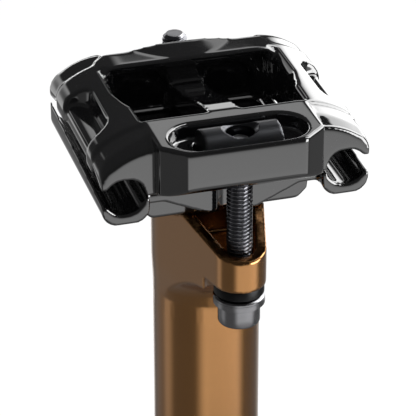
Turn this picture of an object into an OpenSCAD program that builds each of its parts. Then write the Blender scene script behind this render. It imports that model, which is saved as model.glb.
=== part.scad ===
// Dropper seatpost: a height-adjustable bicycle seatpost with a two-bolt rail clamp.
// Millimetres, +Z up along the post, +X sideways, -Y towards the side that the photograph shows.
// The origin lies on the post's axis at the lower face of the collar, where the post stops on the frame.
// The post is drawn fully extended, with its clamp level.

/* [Post tubes] */
// Outer diameter of the fixed lower tube
post_d = 27.2; // [27.2:0.1:31.6]
// Wall of the fixed lower tube
lower_wall = 1.4; // [1.2:0.1:1.8]
// Wall of the plain bushings between the tubes
bushing_t = 1.0; // [0.9:0.1:1.3]
// Wall of the sliding upper tube
upper_wall = 1.5; // [1.3:0.1:1.8]
// Height that the saddle drops
travel = 125; // [75:5:150]
// Length of the upper tube inside the lower one at full extension
overlap = 72; // [66:1:100]
// Height of the collar above the frame
collar_h = 30; // [28:1:40]
// Wall of the collar round the lower tube
collar_wall = 2.9; // [2.7:0.1:4]

/* [Head of the upper tube] */
// Distance of each clamp bolt from the post's axis
bolt_y = 22.9; // [22.4:0.1:23.1]
// Radius of the rounded ear round each bolt
ear_r = 5.4; // [5.3:0.05:5.8]
// Wall left round the two bolt pockets of the head
head_wall = 2.3; // [1.8:0.1:2.6]
// Radius of the saddle on which the cradle tilts
saddle_r = 26; // [24:0.5:28]
// Height of the tilt axis above the rail axes
tilt_z = 12.3; // [11.5:0.1:13]
// Depth of the front ear's seat face below the rail axes
ear_z = 21.4; // [20.5:0.1:22]
// How much higher the rear ear's seat face lies
rear_rise = 1.8; // [0:0.1:2.5]

/* [Rail clamp] */
// Diameter of the saddle rails
rail_d = 7; // [7:0.1:7.3]
// Distance between the two rail axes
rail_pitch = 44; // [43.5:0.1:44.5]
// Length of the rail grooves along the rails
clamp_len = 43; // [40:0.5:46]
// Overall width over the claws
clamp_w = 54.4; // [53.6:0.1:56]
// Distance from each clamp bolt's axis to the end of its beam
beam_lip = 5.7; // [5.6:0.1:6.5]
// Width of the beams' flat end faces
beam_face = 23.8; // [20:0.2:26]
// Height of the front beam's flat top above the rail axes
beam_z = 11.5; // [11:0.1:12.5]
// Length of the slot that holds a barrel nut
slot_len = 27.5; // [24:0.5:28.5]
// Width of the slot at the front beam's top
slot_w = 11.2; // [11:0.1:11.4]
// Front edge of the window, measured from the post's axis
window_front = 12.3; // [11.5:0.1:13]
// Rear edge of the window, measured from the post's axis
window_rear = 11.8; // [11.4:0.1:12.4]
// Half length of the side openings between the claws
waist = 9.2; // [7:0.1:10]

/* [Bolts and nuts] */
// Thread diameter of the clamp bolts, drawn plain at the thread's middle height
bolt_d = 4.8; // [4.6:0.1:4.9]
// Length of a clamp bolt under its head
bolt_len = 36.2; // [35.5:0.1:37]
// Diameter of the bolt heads
bolt_head_d = 8.5; // [8:0.1:8.6]
// Height of the bolt heads
bolt_head_h = 4.4; // [4:0.1:5]
// Diameter of the barrel nuts
nut_d = 9.5; // [9:0.1:9.6]
// Length of the barrel nuts
nut_len = 15.6; // [14:0.1:20]
// Height of the front barrel nut's axis above the rail axes
front_nut_z = 8.1; // [7.6:0.1:8.4]
// Height of the rear barrel nut's axis above the rail axes
rear_nut_z = 4.0; // [3.6:0.1:4.2]

/* [Cartridge] */
// Diameter of the cartridge's rod
rod_d = 8; // [7:0.1:9]
// Gap between the cartridge and the upper tube
cart_gap = 1.2; // [0.9:0.1:1.5]
// Wall of the cartridge
cart_wall = 0.8; // [0.7:0.05:1]
// Diameter of the valve rod inside the cartridge's rod
valve_rod_d = 3; // [2.6:0.1:3.4]

/* [Actuator] */
// Diameter of the lever's pivot pin
pivot_d = 3; // [2.6:0.1:3.4]
// Diameter of the cable barrel in the lever
barrel_d = 5; // [4.6:0.1:5.4]
// Thickness of the lever
lever_t = 8.4; // [7.6:0.1:9]
// Diameter of the socket for the cable housing's ferrule
ferrule_d = 5.2; // [5:0.1:5.6]
// Wire of the return spring
spring_wire = 0.7; // [0.5:0.05:0.8]
// Turns of the return spring
spring_turns = 6; // [5:1:8]

/* [Hidden] */
$fn = 96;

// Gap on the radius of a running fit, and of pieces that are fixed together
run_gap = 0.05;
fit_gap = 0.03;
// Gap between pieces that meet end to end at rest
end_gap = 0.3;
// Overlap of a cutting shape past the face that it cuts
cut = 1;

// Tube radii, from the frame's seat tube inwards
post_r = post_d / 2;
lower_bore = post_r - lower_wall;
upper_r = lower_bore - bushing_t - run_gap * 2;
upper_bore = upper_r - upper_wall;
cart_r = upper_bore - cart_gap;
cart_bore = 2 * (cart_r - cart_wall);
rod_r = rod_d / 2;
valve_r = valve_rod_d / 2;

// Levels below the rail axes: washers and bolt heads under an ear
seat_t = 2.0;
flange_t = 2.5;
flange_r = 5.2;
bolt_r = bolt_d / 2;
nut_r = nut_d / 2;
nut_bore = bolt_r + 0.25;
head_bevel = 0.4;
tip_bevel = 0.5;
hex_key = 4;
bolt_low = ear_z + seat_t + flange_t + bolt_head_h;
seat_ball_r = 9;

// Head of the upper tube
head_step = 0.28;
head_r = upper_r + head_step;
web_round = 10;
web_z = ear_z + 2.9;
head_low = web_z + web_round;
rim_y = 12;
rim_slope = 12.5;
floor_t = 3.6;
spot_r = 6.9;

// The rail axes' height: at full drop the bolt heads stay clear of the collar
lip_h = 1.6;
drop_gap = 2.4;
rail_z = collar_h + lip_h + drop_gap + max(bolt_low, head_low) + travel;
rail_x = rail_pitch / 2;
half_len = clamp_len / 2;
half_w = clamp_w / 2;
beam_y = bolt_y + beam_lip;
beam_len = 2 * beam_y;

rim_z = saddle_rise(rim_y);
bore_top = rail_z - ear_z - 8;

// Collar: its outline, the lower tube's thread in it, and depths below its top
collar_r = post_r + collar_wall;
collar_bevel = 0.8;
collar_waist = 0.9;
waist_low = 9;
waist_high = 21;
lip_t = 1.2;
wiper_depth = 8;
foam_depth = 13.6;
thread_depth = 14;
room_depth = 15;
room_r = lower_bore + 1;
lip_r = upper_r + 0.9;
thread_r = post_r - 0.25;
thread_top = collar_h - thread_depth;
flute_r = 2;
flute_h = 7;
flute_depth = 0.5;
flute_count = 12;

// Levels of the inner parts, at full extension
foot_z = -overlap;
key_r = 1.25;
key_len = 10;
key_rise = 26;
key_z = foot_z + key_rise;
key_at = upper_r + 0.35;
groove_gap = 0.12;
bushing_len = 26;
lower_bushing_len = 14;
gland_len = 13;
stroke_gap = 8;
base_z = foot_z - travel - stroke_gap;
plug_len = 12;
lower_end = base_z - plug_len;
float_z = foot_z + travel + 20;
float_h = 9;
cap_h = 6;
gas_h = 12;
float_stroke = travel * pow(rod_d / cart_bore, 2);
cart_top = float_z + float_h + float_stroke + gas_h + cap_h;

// Housing screws: their radius, and where they begin and end from the axis
screw_r = 1.5;
screw_out = post_r - 0.2;
screw_in = screw_out - 5;

// Actuator, measured down from the lower tube's end
house_r = post_r - 0.5;
corner_y = 3;
corner_h = 11;
eye_wall = 2.2;
barrel_wall = 1.4;
pad_r = 3.4;
arm_low = -3.6;
arm_high = 2.6;
cable_slot = 2.2;
flange_len = 4;
cheek_top = lower_end - flange_len;
cheek_in = lever_t / 2 + end_gap;
cheek_t = 3.2;
valve_arm = 3.6;
cable_arm = 5;
pivot_drop = 15;
pivot_y = valve_arm;
pivot_z = cheek_top - pivot_drop;
button_lift = 3.2;
button_z = pivot_z + button_lift;
button_r = 3.2;
button_t = 1.6;
barrel_y = pivot_y + cable_arm;
stop_drop = 14;
cheek_low = pivot_z - stop_drop;
bridge_t = 5;
stop_r = ferrule_d / 2 + 1.1;
stop_grip = 0.9;
stop_len = 6;
spring_r = 2.55;
spring_top = cheek_top - 0.1;

function saddle_rise(y) = tilt_z - sqrt(saddle_r * saddle_r - y * y);

module ring(outer, inner, low, high) {
    translate([0, 0, low]) difference() {
        cylinder(r = outer, h = high - low);
        translate([0, 0, -cut]) cylinder(r = inner, h = high - low + 2 * cut);
    }
}

module rod(radius, low, high) {
    translate([0, 0, low]) cylinder(r = radius, h = high - low);
}

// A round bar along X, centred on x = 0
module cross_rod(radius, length, y, z) {
    translate([-length / 2, y, z]) rotate([0, 90, 0]) cylinder(r = radius, h = length);
}

// An upright hole that is longer along Y, for a bolt that tilts
module long_hole(radius, stretch, y, low, high) {
    for (k = [-1, 1]) translate([0, y + k * stretch, 0]) rod(radius, low, high);
    translate([-radius, y - stretch, low]) cube([2 * radius, 2 * stretch, high - low]);
}

module rail_frame() {
    translate([0, 0, rail_z]) children();
}

// Both sides of the clamp: the copy at -X is the mirror image
module both_sides() {
    for (k = [0, 1]) mirror([k, 0, 0]) children();
}

module both_ends() {
    for (k = [0, 1]) mirror([0, k, 0]) children();
}

// Fixed lower tube

module lower_post() {
    color("#1c1c1e") difference() {
        union() {
            rod(post_r, lower_end, -fit_gap);
            rod(thread_r, lower_end, thread_top);
        }
        rod(lower_bore, lower_end - cut, thread_top + cut);
        // Three guide grooves along the bore
        for (a = [0, 120, 240]) rotate([0, 0, a]) translate([0, key_at, 0])
            rod(key_r + groove_gap, base_z, thread_top + cut);
        // Cross holes of the housing bolts
        for (a = [45, 225]) rotate([0, 0, a]) translate([0, 0, lower_end + plug_len / 2])
            rotate([90, 0, 0]) cylinder(r = screw_r + fit_gap, h = post_d);
    }
}

module collar() {
    dip_r = collar_r - collar_waist;
    color("#161618") difference() {
        rotate_extrude() polygon([
            [0, 0], [collar_r - collar_bevel, 0], [collar_r, collar_bevel], [collar_r, waist_low],
            [dip_r, waist_low + 1], [dip_r, waist_high - 1], [collar_r, waist_high],
            [collar_r, collar_h - 4], [collar_r - 1.4, collar_h], [0, collar_h]]);
        rod(thread_r + fit_gap, -cut, thread_top + fit_gap);
        rod(room_r, collar_h - room_depth, collar_h - lip_t);
        rod(lip_r, collar_h - 2 * lip_t, collar_h + cut);
        // Grip flutes round the waist
        for (k = [1 : flute_count]) rotate([0, 0, 360 * k / flute_count])
            translate([dip_r + flute_r - flute_depth, 0, (waist_low + waist_high - flute_h) / 2])
                cylinder(r = flute_r, h = flute_h);
    }
}

module wiper_seal() {
    seal_r = room_r - fit_gap;
    shoulder = collar_h - lip_t - fit_gap;
    inner = upper_r + run_gap;
    low = collar_h - wiper_depth;
    color("#101010") rotate_extrude() polygon([
        [inner, low], [seal_r, low], [seal_r, shoulder], [lip_r - fit_gap, shoulder],
        [lip_r - 0.1, collar_h + 0.4], [inner + 0.1, collar_h + lip_h], [inner, collar_h + lip_h - 0.5],
        [inner + 0.35, collar_h - 1], [inner + 0.35, low + 2.5]]);
}

module foam_ring() {
    color("#4a4a3a")
        ring(room_r - fit_gap, upper_r + 0.2, collar_h - foam_depth, collar_h - wiper_depth - 0.2);
}

module upper_bushing() {
    top = collar_h - room_depth;
    color("#6f6a55") ring(lower_bore - run_gap, upper_r + run_gap, top - bushing_len, top);
}

module bottom_bumper() {
    color("#2b2b2b") ring(upper_r - 0.4, rod_r + 1, base_z, base_z + 5.5);
}

// Actuator at the lower end

module actuator_housing() {
    color("#232325") difference() {
        union() {
            rod(lower_bore - fit_gap, lower_end - cut, base_z);
            rod(house_r, cheek_top, lower_end);
            // Two cheeks and the bridge that holds the cable stop
            intersection() {
                rod(house_r, cheek_low, cheek_top + cut);
                union() {
                    both_sides() translate([cheek_in, -post_r, cheek_low])
                        cube([cheek_t, post_d, cheek_top - cheek_low + cut]);
                    translate([-cheek_in - cut, 0, cheek_low])
                        cube([2 * cheek_in + 2 * cut, post_r, bridge_t]);
                }
            }
        }
        // Rod thread, valve bore, spring pocket
        rod(rod_r + fit_gap, base_z - 8, base_z + cut);
        rod(valve_r + run_gap, cheek_top - cut, base_z);
        cross_rod(pivot_d / 2 + fit_gap, post_d + 2 * cut, pivot_y, pivot_z);
        translate([0, barrel_y, 0]) rod(stop_r + fit_gap, cheek_low - cut, cheek_low + bridge_t + cut);
        // The cheeks' lower front corners are cut back
        translate([-post_r, -post_r, cheek_low - cut]) cube([post_d, post_r - corner_y, corner_h + cut]);
        for (a = [45, 225]) rotate([0, 0, a])
            translate([0, end_gap - screw_in, lower_end + plug_len / 2])
                rotate([90, 0, 0]) cylinder(r = screw_r + fit_gap, h = post_r);
    }
}

module housing_bolts() {
    color("#b9bcc0") for (a = [45, 225]) rotate([0, 0, a])
        translate([0, -screw_out, lower_end + plug_len / 2]) rotate([-90, 0, 0])
            difference() {
                cylinder(r = screw_r, h = screw_out - screw_in);
                translate([0, 0, -cut]) cylinder(r = 0.6 * screw_r, h = cut + screw_r, $fn = 6);
            }
}

module lever_pivot_pin() {
    pin_len = 2 * (cheek_in + cheek_t);
    color("#c9ccd0") cross_rod(pivot_d / 2, pin_len, pivot_y, pivot_z);
}

module lever_side() {
    translate([pivot_y, pivot_z]) circle(r = pivot_d / 2 + eye_wall);
    translate([barrel_y, pivot_z]) circle(r = barrel_d / 2 + barrel_wall);
    translate([0, pivot_z - 0.4]) circle(r = pad_r);
    translate([0, pivot_z + arm_low]) square([barrel_y, arm_high - arm_low]);
}

module actuator_lever() {
    color("#8f9296") difference() {
        translate([-lever_t / 2, 0, 0]) rotate([90, 0, 90]) linear_extrude(lever_t) lever_side();
        cross_rod(pivot_d / 2 + run_gap, lever_t + 2 * cut, pivot_y, pivot_z);
        cross_rod(barrel_d / 2 + run_gap, lever_t + 2 * cut, barrel_y, pivot_z);
        // The pad stops below the button, and the cable's way down is open
        translate([-post_r, -post_r, button_z - end_gap]) cube([post_d, post_r + button_r + end_gap, 4]);
        translate([-cable_slot / 2, barrel_y - cable_slot / 2, pivot_z - 8])
            cube([cable_slot, 2 * barrel_d, 16]);
    }
}

module cable_barrel() {
    color("#d2b45c") difference() {
        cross_rod(barrel_d / 2, lever_t, barrel_y, pivot_z);
        translate([0, barrel_y, 0]) rod(0.9, pivot_z - barrel_d, pivot_z + barrel_d);
        translate([1.5, barrel_y, pivot_z]) rotate([0, 90, 0])
            cylinder(r = 1.25 + fit_gap, h = lever_t);
    }
}

module barrel_grub_screw() {
    color("#2e2e30") translate([1.6, barrel_y, pivot_z]) rotate([0, 90, 0]) difference() {
        cylinder(r = 1.25, h = lever_t / 2 - 1.7);
        translate([0, 0, lever_t / 2 - 3]) cylinder(r = 0.85, h = 3, $fn = 6);
    }
}

module cable_stop() {
    low = cheek_low - stop_len;
    color("#a7aaae") translate([0, barrel_y, 0]) difference() {
        union() {
            rod(stop_r, low, cheek_low + bridge_t);
            rod(stop_r + stop_grip, low + 2, cheek_low - fit_gap);
        }
        rod(ferrule_d / 2, low - cut, cheek_low + 2);
        rod(1.2, cheek_low, cheek_low + bridge_t + cut);
    }
}

// Points of one closed coil tube: sides round the wire, rings along the helix
function coil_ring(i, rings, turns, radius, wire, low, high, sides) =
    let (t = i / rings, a = 360 * turns * t, h = low + (high - low) * t)
    [for (k = [0 : sides - 1]) let (b = 360 * k / sides)
        [(radius + wire * cos(b)) * cos(a), (radius + wire * cos(b)) * sin(a), h + wire * sin(b)]];

module coil(turns, radius, wire, low, high) {
    sides = 6;
    rings = 8 * turns;
    points = [for (i = [0 : rings]) each coil_ring(i, rings, turns, radius, wire, low, high, sides)];
    walls = [for (i = [0 : rings - 1], k = [0 : sides - 1])
        let (a = i * sides + k, b = i * sides + (k + 1) % sides)
        each [[a, a + sides, b + sides], [a, b + sides, b]]];
    cap_low = [for (k = [1 : sides - 2]) [0, k, k + 1]];
    last = rings * sides;
    cap_high = [for (k = [1 : sides - 2]) [last, last + k + 1, last + k]];
    least_gap = (high - low) / turns - 2 * wire;
    echo("return spring least gap between turns", least_gap);
    polyhedron(points, concat(walls, cap_low, cap_high), convexity = 10);
}

module return_spring() {
    wire = spring_wire / 2;
    color("#c4c7cb") coil(spring_turns, spring_r, wire, button_z + button_t + wire, spring_top - wire);
}

module valve_rod() {
    color("#d9dbde") {
        rod(valve_r, button_z, foot_z + gland_len + 4);
        rod(button_r, button_z, button_z + button_t);
    }
}

// Cartridge

module piston_rod() {
    color("#d5d8dc") difference() {
        rod(rod_r, base_z - 8 + fit_gap, foot_z + gland_len + 12);
        rod(valve_r + run_gap, base_z - 9, foot_z + gland_len + 8);
    }
}

module piston() {
    low = foot_z + gland_len + 5;
    color("#c8a24a") difference() {
        ring(cart_bore / 2 - run_gap, rod_r + fit_gap, low, low + 7);
        ring(cart_bore, cart_bore / 2 - 1.3, low + 2.3, low + 4.7);
    }
}

module piston_seal() {
    low = foot_z + gland_len + 5 + 2.3;
    color("#111111") ring(cart_bore / 2 - run_gap, cart_bore / 2 - 1.3 + fit_gap, low + 0.1, low + 2.3);
}

module rod_gland() {
    color("#1f2a44") difference() {
        ring(upper_bore - fit_gap, rod_r + run_gap, foot_z - 2, foot_z + gland_len);
        ring(cart_r + fit_gap, cart_bore / 2 - 0.6, foot_z + gland_len - 5, foot_z + gland_len + cut);
        ring(rod_r + 1.6, rod_r, foot_z + 2, foot_z + 4.4);
    }
}

module rod_seal() {
    color("#111111") ring(rod_r + 1.6 - fit_gap, rod_r + run_gap, foot_z + 2.1, foot_z + 4.3);
}

module top_out_bumper() {
    low = foot_z + gland_len + end_gap;
    color("#303030") ring(cart_bore / 2 - 0.4, rod_r + run_gap * 2, low, low + 4.4);
}

module cartridge_body() {
    color("#9fa4aa") ring(cart_r, cart_bore / 2, foot_z + gland_len - 5 + fit_gap, cart_top);
}

module cartridge_cap() {
    color("#1f2a44") {
        rod(cart_bore / 2 - fit_gap, cart_top - cap_h, cart_top);
        rod(upper_bore - 0.2, cart_top, cart_top + 4);
    }
}

module floating_piston() {
    color("#c8a24a") difference() {
        rod(cart_bore / 2 - run_gap, float_z, float_z + float_h);
        rod(cart_bore / 2 - 2.4, float_z + 3, float_z + float_h + cut);
        ring(cart_bore, cart_bore / 2 - 1.3, float_z + 3.3, float_z + 5.7);
    }
}

module floating_seal() {
    color("#111111")
        ring(cart_bore / 2 - run_gap, cart_bore / 2 - 1.3 + fit_gap, float_z + 3.4, float_z + 5.6);
}

// Sliding upper tube with its forged head

// Quadrilateral between two circles on the Y axis, along their common tangents
module tangent_web(near_r, far_r, distance) {
    s = (near_r - far_r) / distance;
    c = sqrt(1 - s * s);
    polygon([[near_r * c, -near_r * s], [far_r * c, -distance - far_r * s],
        [-far_r * c, -distance - far_r * s], [-near_r * c, -near_r * s]]);
}

module head_plan(inset) {
    circle(r = head_r - inset);
    both_ends() {
        tangent_web(head_r - inset, ear_r - inset, bolt_y);
        translate([0, -bolt_y]) circle(r = ear_r - inset);
    }
}

// Pocket, bolt hole and seat face of one ear, cut out of the head
module ear_cuts(rise) {
    seat = -ear_z + rise;
    difference() {
        translate([0, 0, seat + floor_t]) linear_extrude(ear_z) head_plan(head_wall);
        translate([-head_r, -rim_y + 3.2, -ear_z - cut]) cube([2 * head_r, 3 * bolt_y, 2 * ear_z]);
    }
    long_hole(bolt_r + 0.5, 0.5, -bolt_y, seat - cut, 0);
    translate([0, -bolt_y, 0]) rod(spot_r, -head_low - cut, seat);
}

// Slope of the rim from the saddle down to the ear
module rim_cut() {
    translate([-bolt_y, -rim_y, rim_z]) rotate([rim_slope, 0, 0]) translate([0, -2 * bolt_y, 0])
        cube([2 * bolt_y, 2 * bolt_y, ear_z]);
}

module upper_post() {
    color("#b07a45") difference() {
        union() {
            rod(upper_r, foot_z, rail_z - head_low);
            rail_frame() intersection() {
                translate([0, 0, -head_low]) linear_extrude(head_low + rim_z) head_plan(0);
                // A round run-out leads the head's underside into the tube
                rotate_extrude() difference() {
                    translate([0, -head_low]) square([2 * bolt_y, head_low]);
                    translate([head_r + web_round, -head_low]) circle(r = web_round);
                    translate([head_r + web_round, -head_low - cut]) square([2 * bolt_y, web_round + cut]);
                }
            }
        }
        rod(upper_bore, foot_z - cut, bore_top);
        for (a = [0, 120, 240]) rotate([0, 0, a]) translate([0, key_at, 0])
            rod(key_r + fit_gap, key_z, key_z + key_len);
        // Seat of the lower bushing
        ring(upper_r + cut, upper_r - 0.2, foot_z + 2, foot_z + 2 + lower_bushing_len);
        rail_frame() {
            cross_rod(saddle_r, 4 * head_r, 0, tilt_z);
            ear_cuts(0);
            mirror([0, 1, 0]) ear_cuts(rear_rise);
            both_ends() rim_cut();
        }
    }
}

module lower_bushing() {
    color("#6f6a55") ring(lower_bore - run_gap, upper_r - 0.2 + fit_gap, foot_z + 2.1,
        foot_z + 1.9 + lower_bushing_len);
}

module guide_keys() {
    color("#c8a24a") for (a = [0, 120, 240]) rotate([0, 0, a]) translate([0, key_at, 0])
        rod(key_r, key_z + 0.1, key_z + key_len - 0.1);
}

// Rail clamp, drawn from the rail axes' level

groove_r = rail_d / 2 + 0.1;
mouth_r = groove_r + 0.5;
mouth_x = rail_x + 0.55;
mouth_z = 0.4;
inner_x = 16.5;
window_x = 17.9;
claw_tip = 2.0;
part_z = -0.3;

// Main arch of the side shells: level in the middle, round towards the rails
arch_x = 13.5;
arch_top = beam_z + 0.1;
arch_r = 20.6;
step_y = 13.5;
step_drop = 0.5;
side_r = 5;
side_x = half_w - side_r;

// Arch of the claws' end faces: a wide arc on top, a tighter one down to the tip
claw_x = rail_x - 6;
claw_z = -6.5;
claw_r = 15.5;
tip_r = 4;
tip_x = half_w - tip_r;
tip_z = 2.6;
claw_slope = 19;

// Side openings between the claws: a shelf half way up
shelf_z = 5.4;
recess_r = 3.5;
shelf_x = half_w - 0.6;
shelf_r = 1.2;

// Groove for a rail: it holds the rail at the inner side and opens out towards the outer one
module groove_section(level) {
    translate([rail_x, 0]) circle(r = groove_r);
    translate([mouth_x, level]) circle(r = mouth_r);
}

// Half outline of the main arch above the rail, rounded down to the shell's side
module arch_section(drop) {
    r = arch_r - drop;
    reach = side_x - arch_x;
    side_z = arch_top - arch_r + sqrt(pow(r - side_r, 2) - reach * reach);
    intersection() {
        union() {
            intersection() {
                translate([arch_x, arch_top - arch_r]) circle(r = r);
                translate([0, -cut]) square([arch_x + r * reach / (r - side_r), 2 * beam_z]);
            }
            translate([side_x, side_z]) circle(r = side_r);
            translate([0, -cut]) square([arch_x, arch_top + cut - drop]);
            translate([0, -cut]) square([half_w, side_z + cut]);
        }
        translate([0, part_z]) square([half_w, 2 * beam_z]);
    }
}

// Removes the rail's groove and the open outer side below the claw's tip
module shell_section(drop) {
    difference() {
        arch_section(drop);
        translate([-1, -cut]) square([inner_x + 1, 2 * beam_z]);
        groove_section(-mouth_z);
        translate([rail_x, part_z - cut]) square([half_w, claw_tip + cut - part_z]);
    }
}

module claw_section() {
    depth = 20;
    intersection() {
        union() {
            intersection() {
                translate([claw_x, claw_z]) circle(r = claw_r);
                translate([claw_x - cut, -depth]) square([tip_x + 1.7 - claw_x + cut, 2 * depth]);
            }
            translate([tip_x, tip_z]) circle(r = tip_r);
            translate([inner_x - cut, -depth]) square([tip_x - inner_x + cut, depth + tip_z]);
        }
        translate([inner_x - cut, -depth]) square([half_w, 2 * depth]);
    }
}

// Runs a half section along Y between two places
module along_y(from, to) {
    translate([0, to, 0]) rotate([90, 0, 0]) linear_extrude(to - from) children();
}

// One claw: its top slopes down to the end face, a small step below the main arch
module claw(rise) {
    intersection() {
        along_y(-half_len, -step_y + cut) shell_section(step_drop);
        translate([0, -half_len, rise]) rotate([claw_slope, 0, 0])
            along_y(-4, 2 * step_y) claw_section();
    }
}

module side_shell() {
    along_y(-step_y, step_y + 2) shell_section(0);
    claw(0);
    mirror([0, 1, 0]) claw(0.6);
}

// Outline of the front beam seen from above, with slanted corners
module beam_plan() {
    corner = inner_x + 0.1;
    slant = corner - beam_face / 2;
    polygon([[-corner, -cut], [-corner, -beam_y + slant * 0.85], [-beam_face / 2, -beam_y],
        [beam_face / 2, -beam_y], [corner, -beam_y + slant * 0.85], [corner, -cut]]);
}

under_r = nut_r + 2.6;

// Front beam: flat top, a long slot for the barrel nut, a round belly below it
module front_beam() {
    low_mid = 3.7;
    low_end = 0.8;
    difference() {
        linear_extrude(beam_z) beam_plan();
        translate([-2 * inner_x, -window_front, -cut]) cube([4 * inner_x, beam_len, 2 * beam_z]);
        // The lower edge is a shallow arch, except for the belly round the nut
        difference() {
            along_y(-beam_y - cut, 0) polygon([[-2 * inner_x, -cut], [2 * inner_x, -cut],
                [inner_x + cut, low_end], [beam_face / 2, low_mid - 0.6], [beam_face / 3, low_mid],
                [-beam_face / 3, low_mid], [-beam_face / 2, low_mid - 0.6], [-inner_x - cut, low_end]]);
            cross_rod(under_r, beam_len, -bolt_y, front_nut_z);
            translate([-inner_x, -bolt_y, -cut]) cube([2 * inner_x, bolt_y, beam_z]);
        }
    }
}

slot_y = beam_y - 0.95 - slot_w / 2;

// Room for the front barrel nut to be slid in, and the bolt's way down
module nut_slot() {
    half = (slot_len - slot_w) / 2;
    for (k = [-1, 1]) translate([k * half, -slot_y, front_nut_z]) rod(slot_w / 2, 0, beam_z);
    translate([-half, -slot_y - slot_w / 2, front_nut_z]) cube([2 * half, slot_w, beam_z]);
    cross_rod(nut_r + 0.1, 2 * half + 0.2, -bolt_y, front_nut_z);
    long_hole(bolt_r + 0.4, 1.1, -bolt_y, -beam_z, front_nut_z);
}

rib_x = 3.3;

// Middle rib: a tongue at the front that slopes down through the window to the rear beam
module middle_rib() {
    translate([-rib_x, 0, 0]) rotate([90, 0, 90]) linear_extrude(2 * rib_x) polygon([
        [-window_front - cut, 3.7], [-window_front - cut, beam_z], [-window_front, beam_z],
        [-window_front + 3.9, beam_z - 0.7], [-1.5, 8.9], [5.7, 6.6], [step_y + cut, 5.0],
        [step_y + cut, 0.6], [0, 1.6]]);
}

ridge_y = 18.9;
ridge_x = 14;
ridge_round = 5.8;
lip_y = 1.6;
lip_z = 1.3;
shelf_drop = 7.6;
rear_under_r = nut_r + 2;
rear_low = -1.2;

module rear_side() {
    wall_y = window_rear + lip_y;
    intersection() {
        polygon([[wall_y, -8], [wall_y, arch_top - lip_z], [window_rear, arch_top - lip_z],
            [window_rear, arch_top], [ridge_y - 1.2, arch_top], [ridge_y - 0.35, arch_top - 0.35],
            [ridge_y, arch_top - 1.2], [beam_y, arch_top - shelf_drop], [beam_y, -8]]);
        union() {
            translate([bolt_y, rear_nut_z]) circle(r = rear_under_r);
            translate([0, rear_low]) square([bolt_y - 4.4, 20]);
            translate([bolt_y - 4.5, rear_nut_z - cut]) square([beam_y, 20]);
        }
    }
}

// Rear outline from above: the ridge's ends are rounded off, the shelf behind it is narrower
module rear_plan() {
    for (k = [-1, 1]) translate([k * ridge_x, ridge_y - ridge_round]) circle(r = ridge_round);
    translate([-ridge_x, 0]) square([2 * ridge_x, ridge_y]);
    mirror([0, 1]) beam_plan();
}

crown_rise = 1;
crown_r = 60;

// Slight crown on top of the ridge, level with it at the window's rear edge
module ridge_crown() {
    width = ridge_y - window_rear;
    intersection() {
        translate([0, window_rear, arch_top]) rotate([atan(crown_rise / width), 0, 0])
            translate([0, width, -crown_r]) rotate([90, 0, 0])
                cylinder(r = crown_r, h = 3 * width, center = true);
        translate([-ridge_x, window_rear, arch_top - 2 * crown_rise])
            cube([2 * ridge_x, width - 0.35, 4 * crown_rise]);
    }
}

// Rear beam: level with the shells up to its ridge, the rear nut's open seat behind it
module rear_beam() {
    seat_from = bolt_y - bolt_r - 1.4;
    ridge_crown();
    difference() {
        intersection() {
            translate([0, 0, -6]) linear_extrude(20) rear_plan();
            translate([-2 * inner_x, 0, 0]) rotate([90, 0, 90]) linear_extrude(4 * inner_x) rear_side();
            along_y(0, beam_y + cut) {
                for (k = [0, 1]) mirror([k, 0]) arch_section(0);
                translate([-inner_x, -8]) square([2 * inner_x, 10]);
            }
        }
        cross_rod(nut_r + 0.1, slot_len - 2, bolt_y, rear_nut_z);
        // The nut goes in from above and behind
        translate([cut - slot_len / 2, seat_from, rear_nut_z])
            cube([slot_len - 2 * cut, beam_y - 1.1 - seat_from, 20]);
        long_hole(bolt_r + 0.4, 1.3, bolt_y, -10, rear_nut_z);
        both_sides() arched_pocket();
    }
}

// Arched pocket in the rear beam's face towards the window
module arched_pocket() {
    deep = lip_y + 2.6;
    translate([0, window_rear + deep, 0]) rotate([90, 0, 0]) linear_extrude(deep + cut) {
        translate([8, 4.6]) circle(r = 4);
        translate([10.5, 4.1]) circle(r = 4);
        translate([4, -cut]) square([10.5, 5.5]);
    }
}

// The window in the shells' inner sides widens in two slanted steps towards the rear
module window_cut() {
    corner = 1.6;
    wide = 1.5;
    middle = -2;
    narrow = -5.5;
    linear_extrude(4 * beam_z, center = true) {
        for (k = [-1, 1]) translate([k * (window_x - corner), window_rear - corner]) circle(r = corner);
        translate([corner - window_x, wide]) square([2 * (window_x - corner), window_rear - wide]);
        for (k = [-1, 1]) polygon([[0, window_rear - corner], [k * window_x, window_rear - corner],
            [k * window_x, wide], [k * (window_x - 0.6), middle], [k * (inner_x + 0.1), narrow],
            [k * inner_x, -window_front], [0, -window_front]]);
    }
}

// Opening in the outer side: down from the main arch to a shelf, whose outer edge is rounded
module side_waist() {
    edge_x = shelf_x - shelf_r;
    translate([0, 0, shelf_z]) linear_extrude(beam_z) {
        for (k = [-1, 1]) translate([rail_x + recess_r, k * (waist - recess_r)]) circle(r = recess_r);
        translate([rail_x, recess_r - waist]) square([2 * recess_r, 2 * (waist - recess_r)]);
        translate([rail_x + recess_r, -waist]) square([2 * recess_r, 2 * waist]);
    }
    along_y(-waist, waist) difference() {
        translate([edge_x, -beam_z]) square([2 * recess_r, shelf_z + cut + beam_z]);
        translate([edge_x, shelf_z - shelf_r]) circle(r = shelf_r);
        translate([edge_x - cut, -2 * beam_z]) square([shelf_r + cut, shelf_z - shelf_r + 2 * beam_z]);
    }
}

module upper_clamp() {
    color("#1e1e1e") rail_frame() difference() {
        union() {
            difference() {
                both_sides() side_shell();
                window_cut();
            }
            front_beam();
            middle_rib();
            rear_beam();
        }
        nut_slot();
        both_sides() {
            along_y(-beam_len, beam_len) groove_section(-mouth_z);
            side_waist();
        }
    }
}

// Cradle

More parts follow.
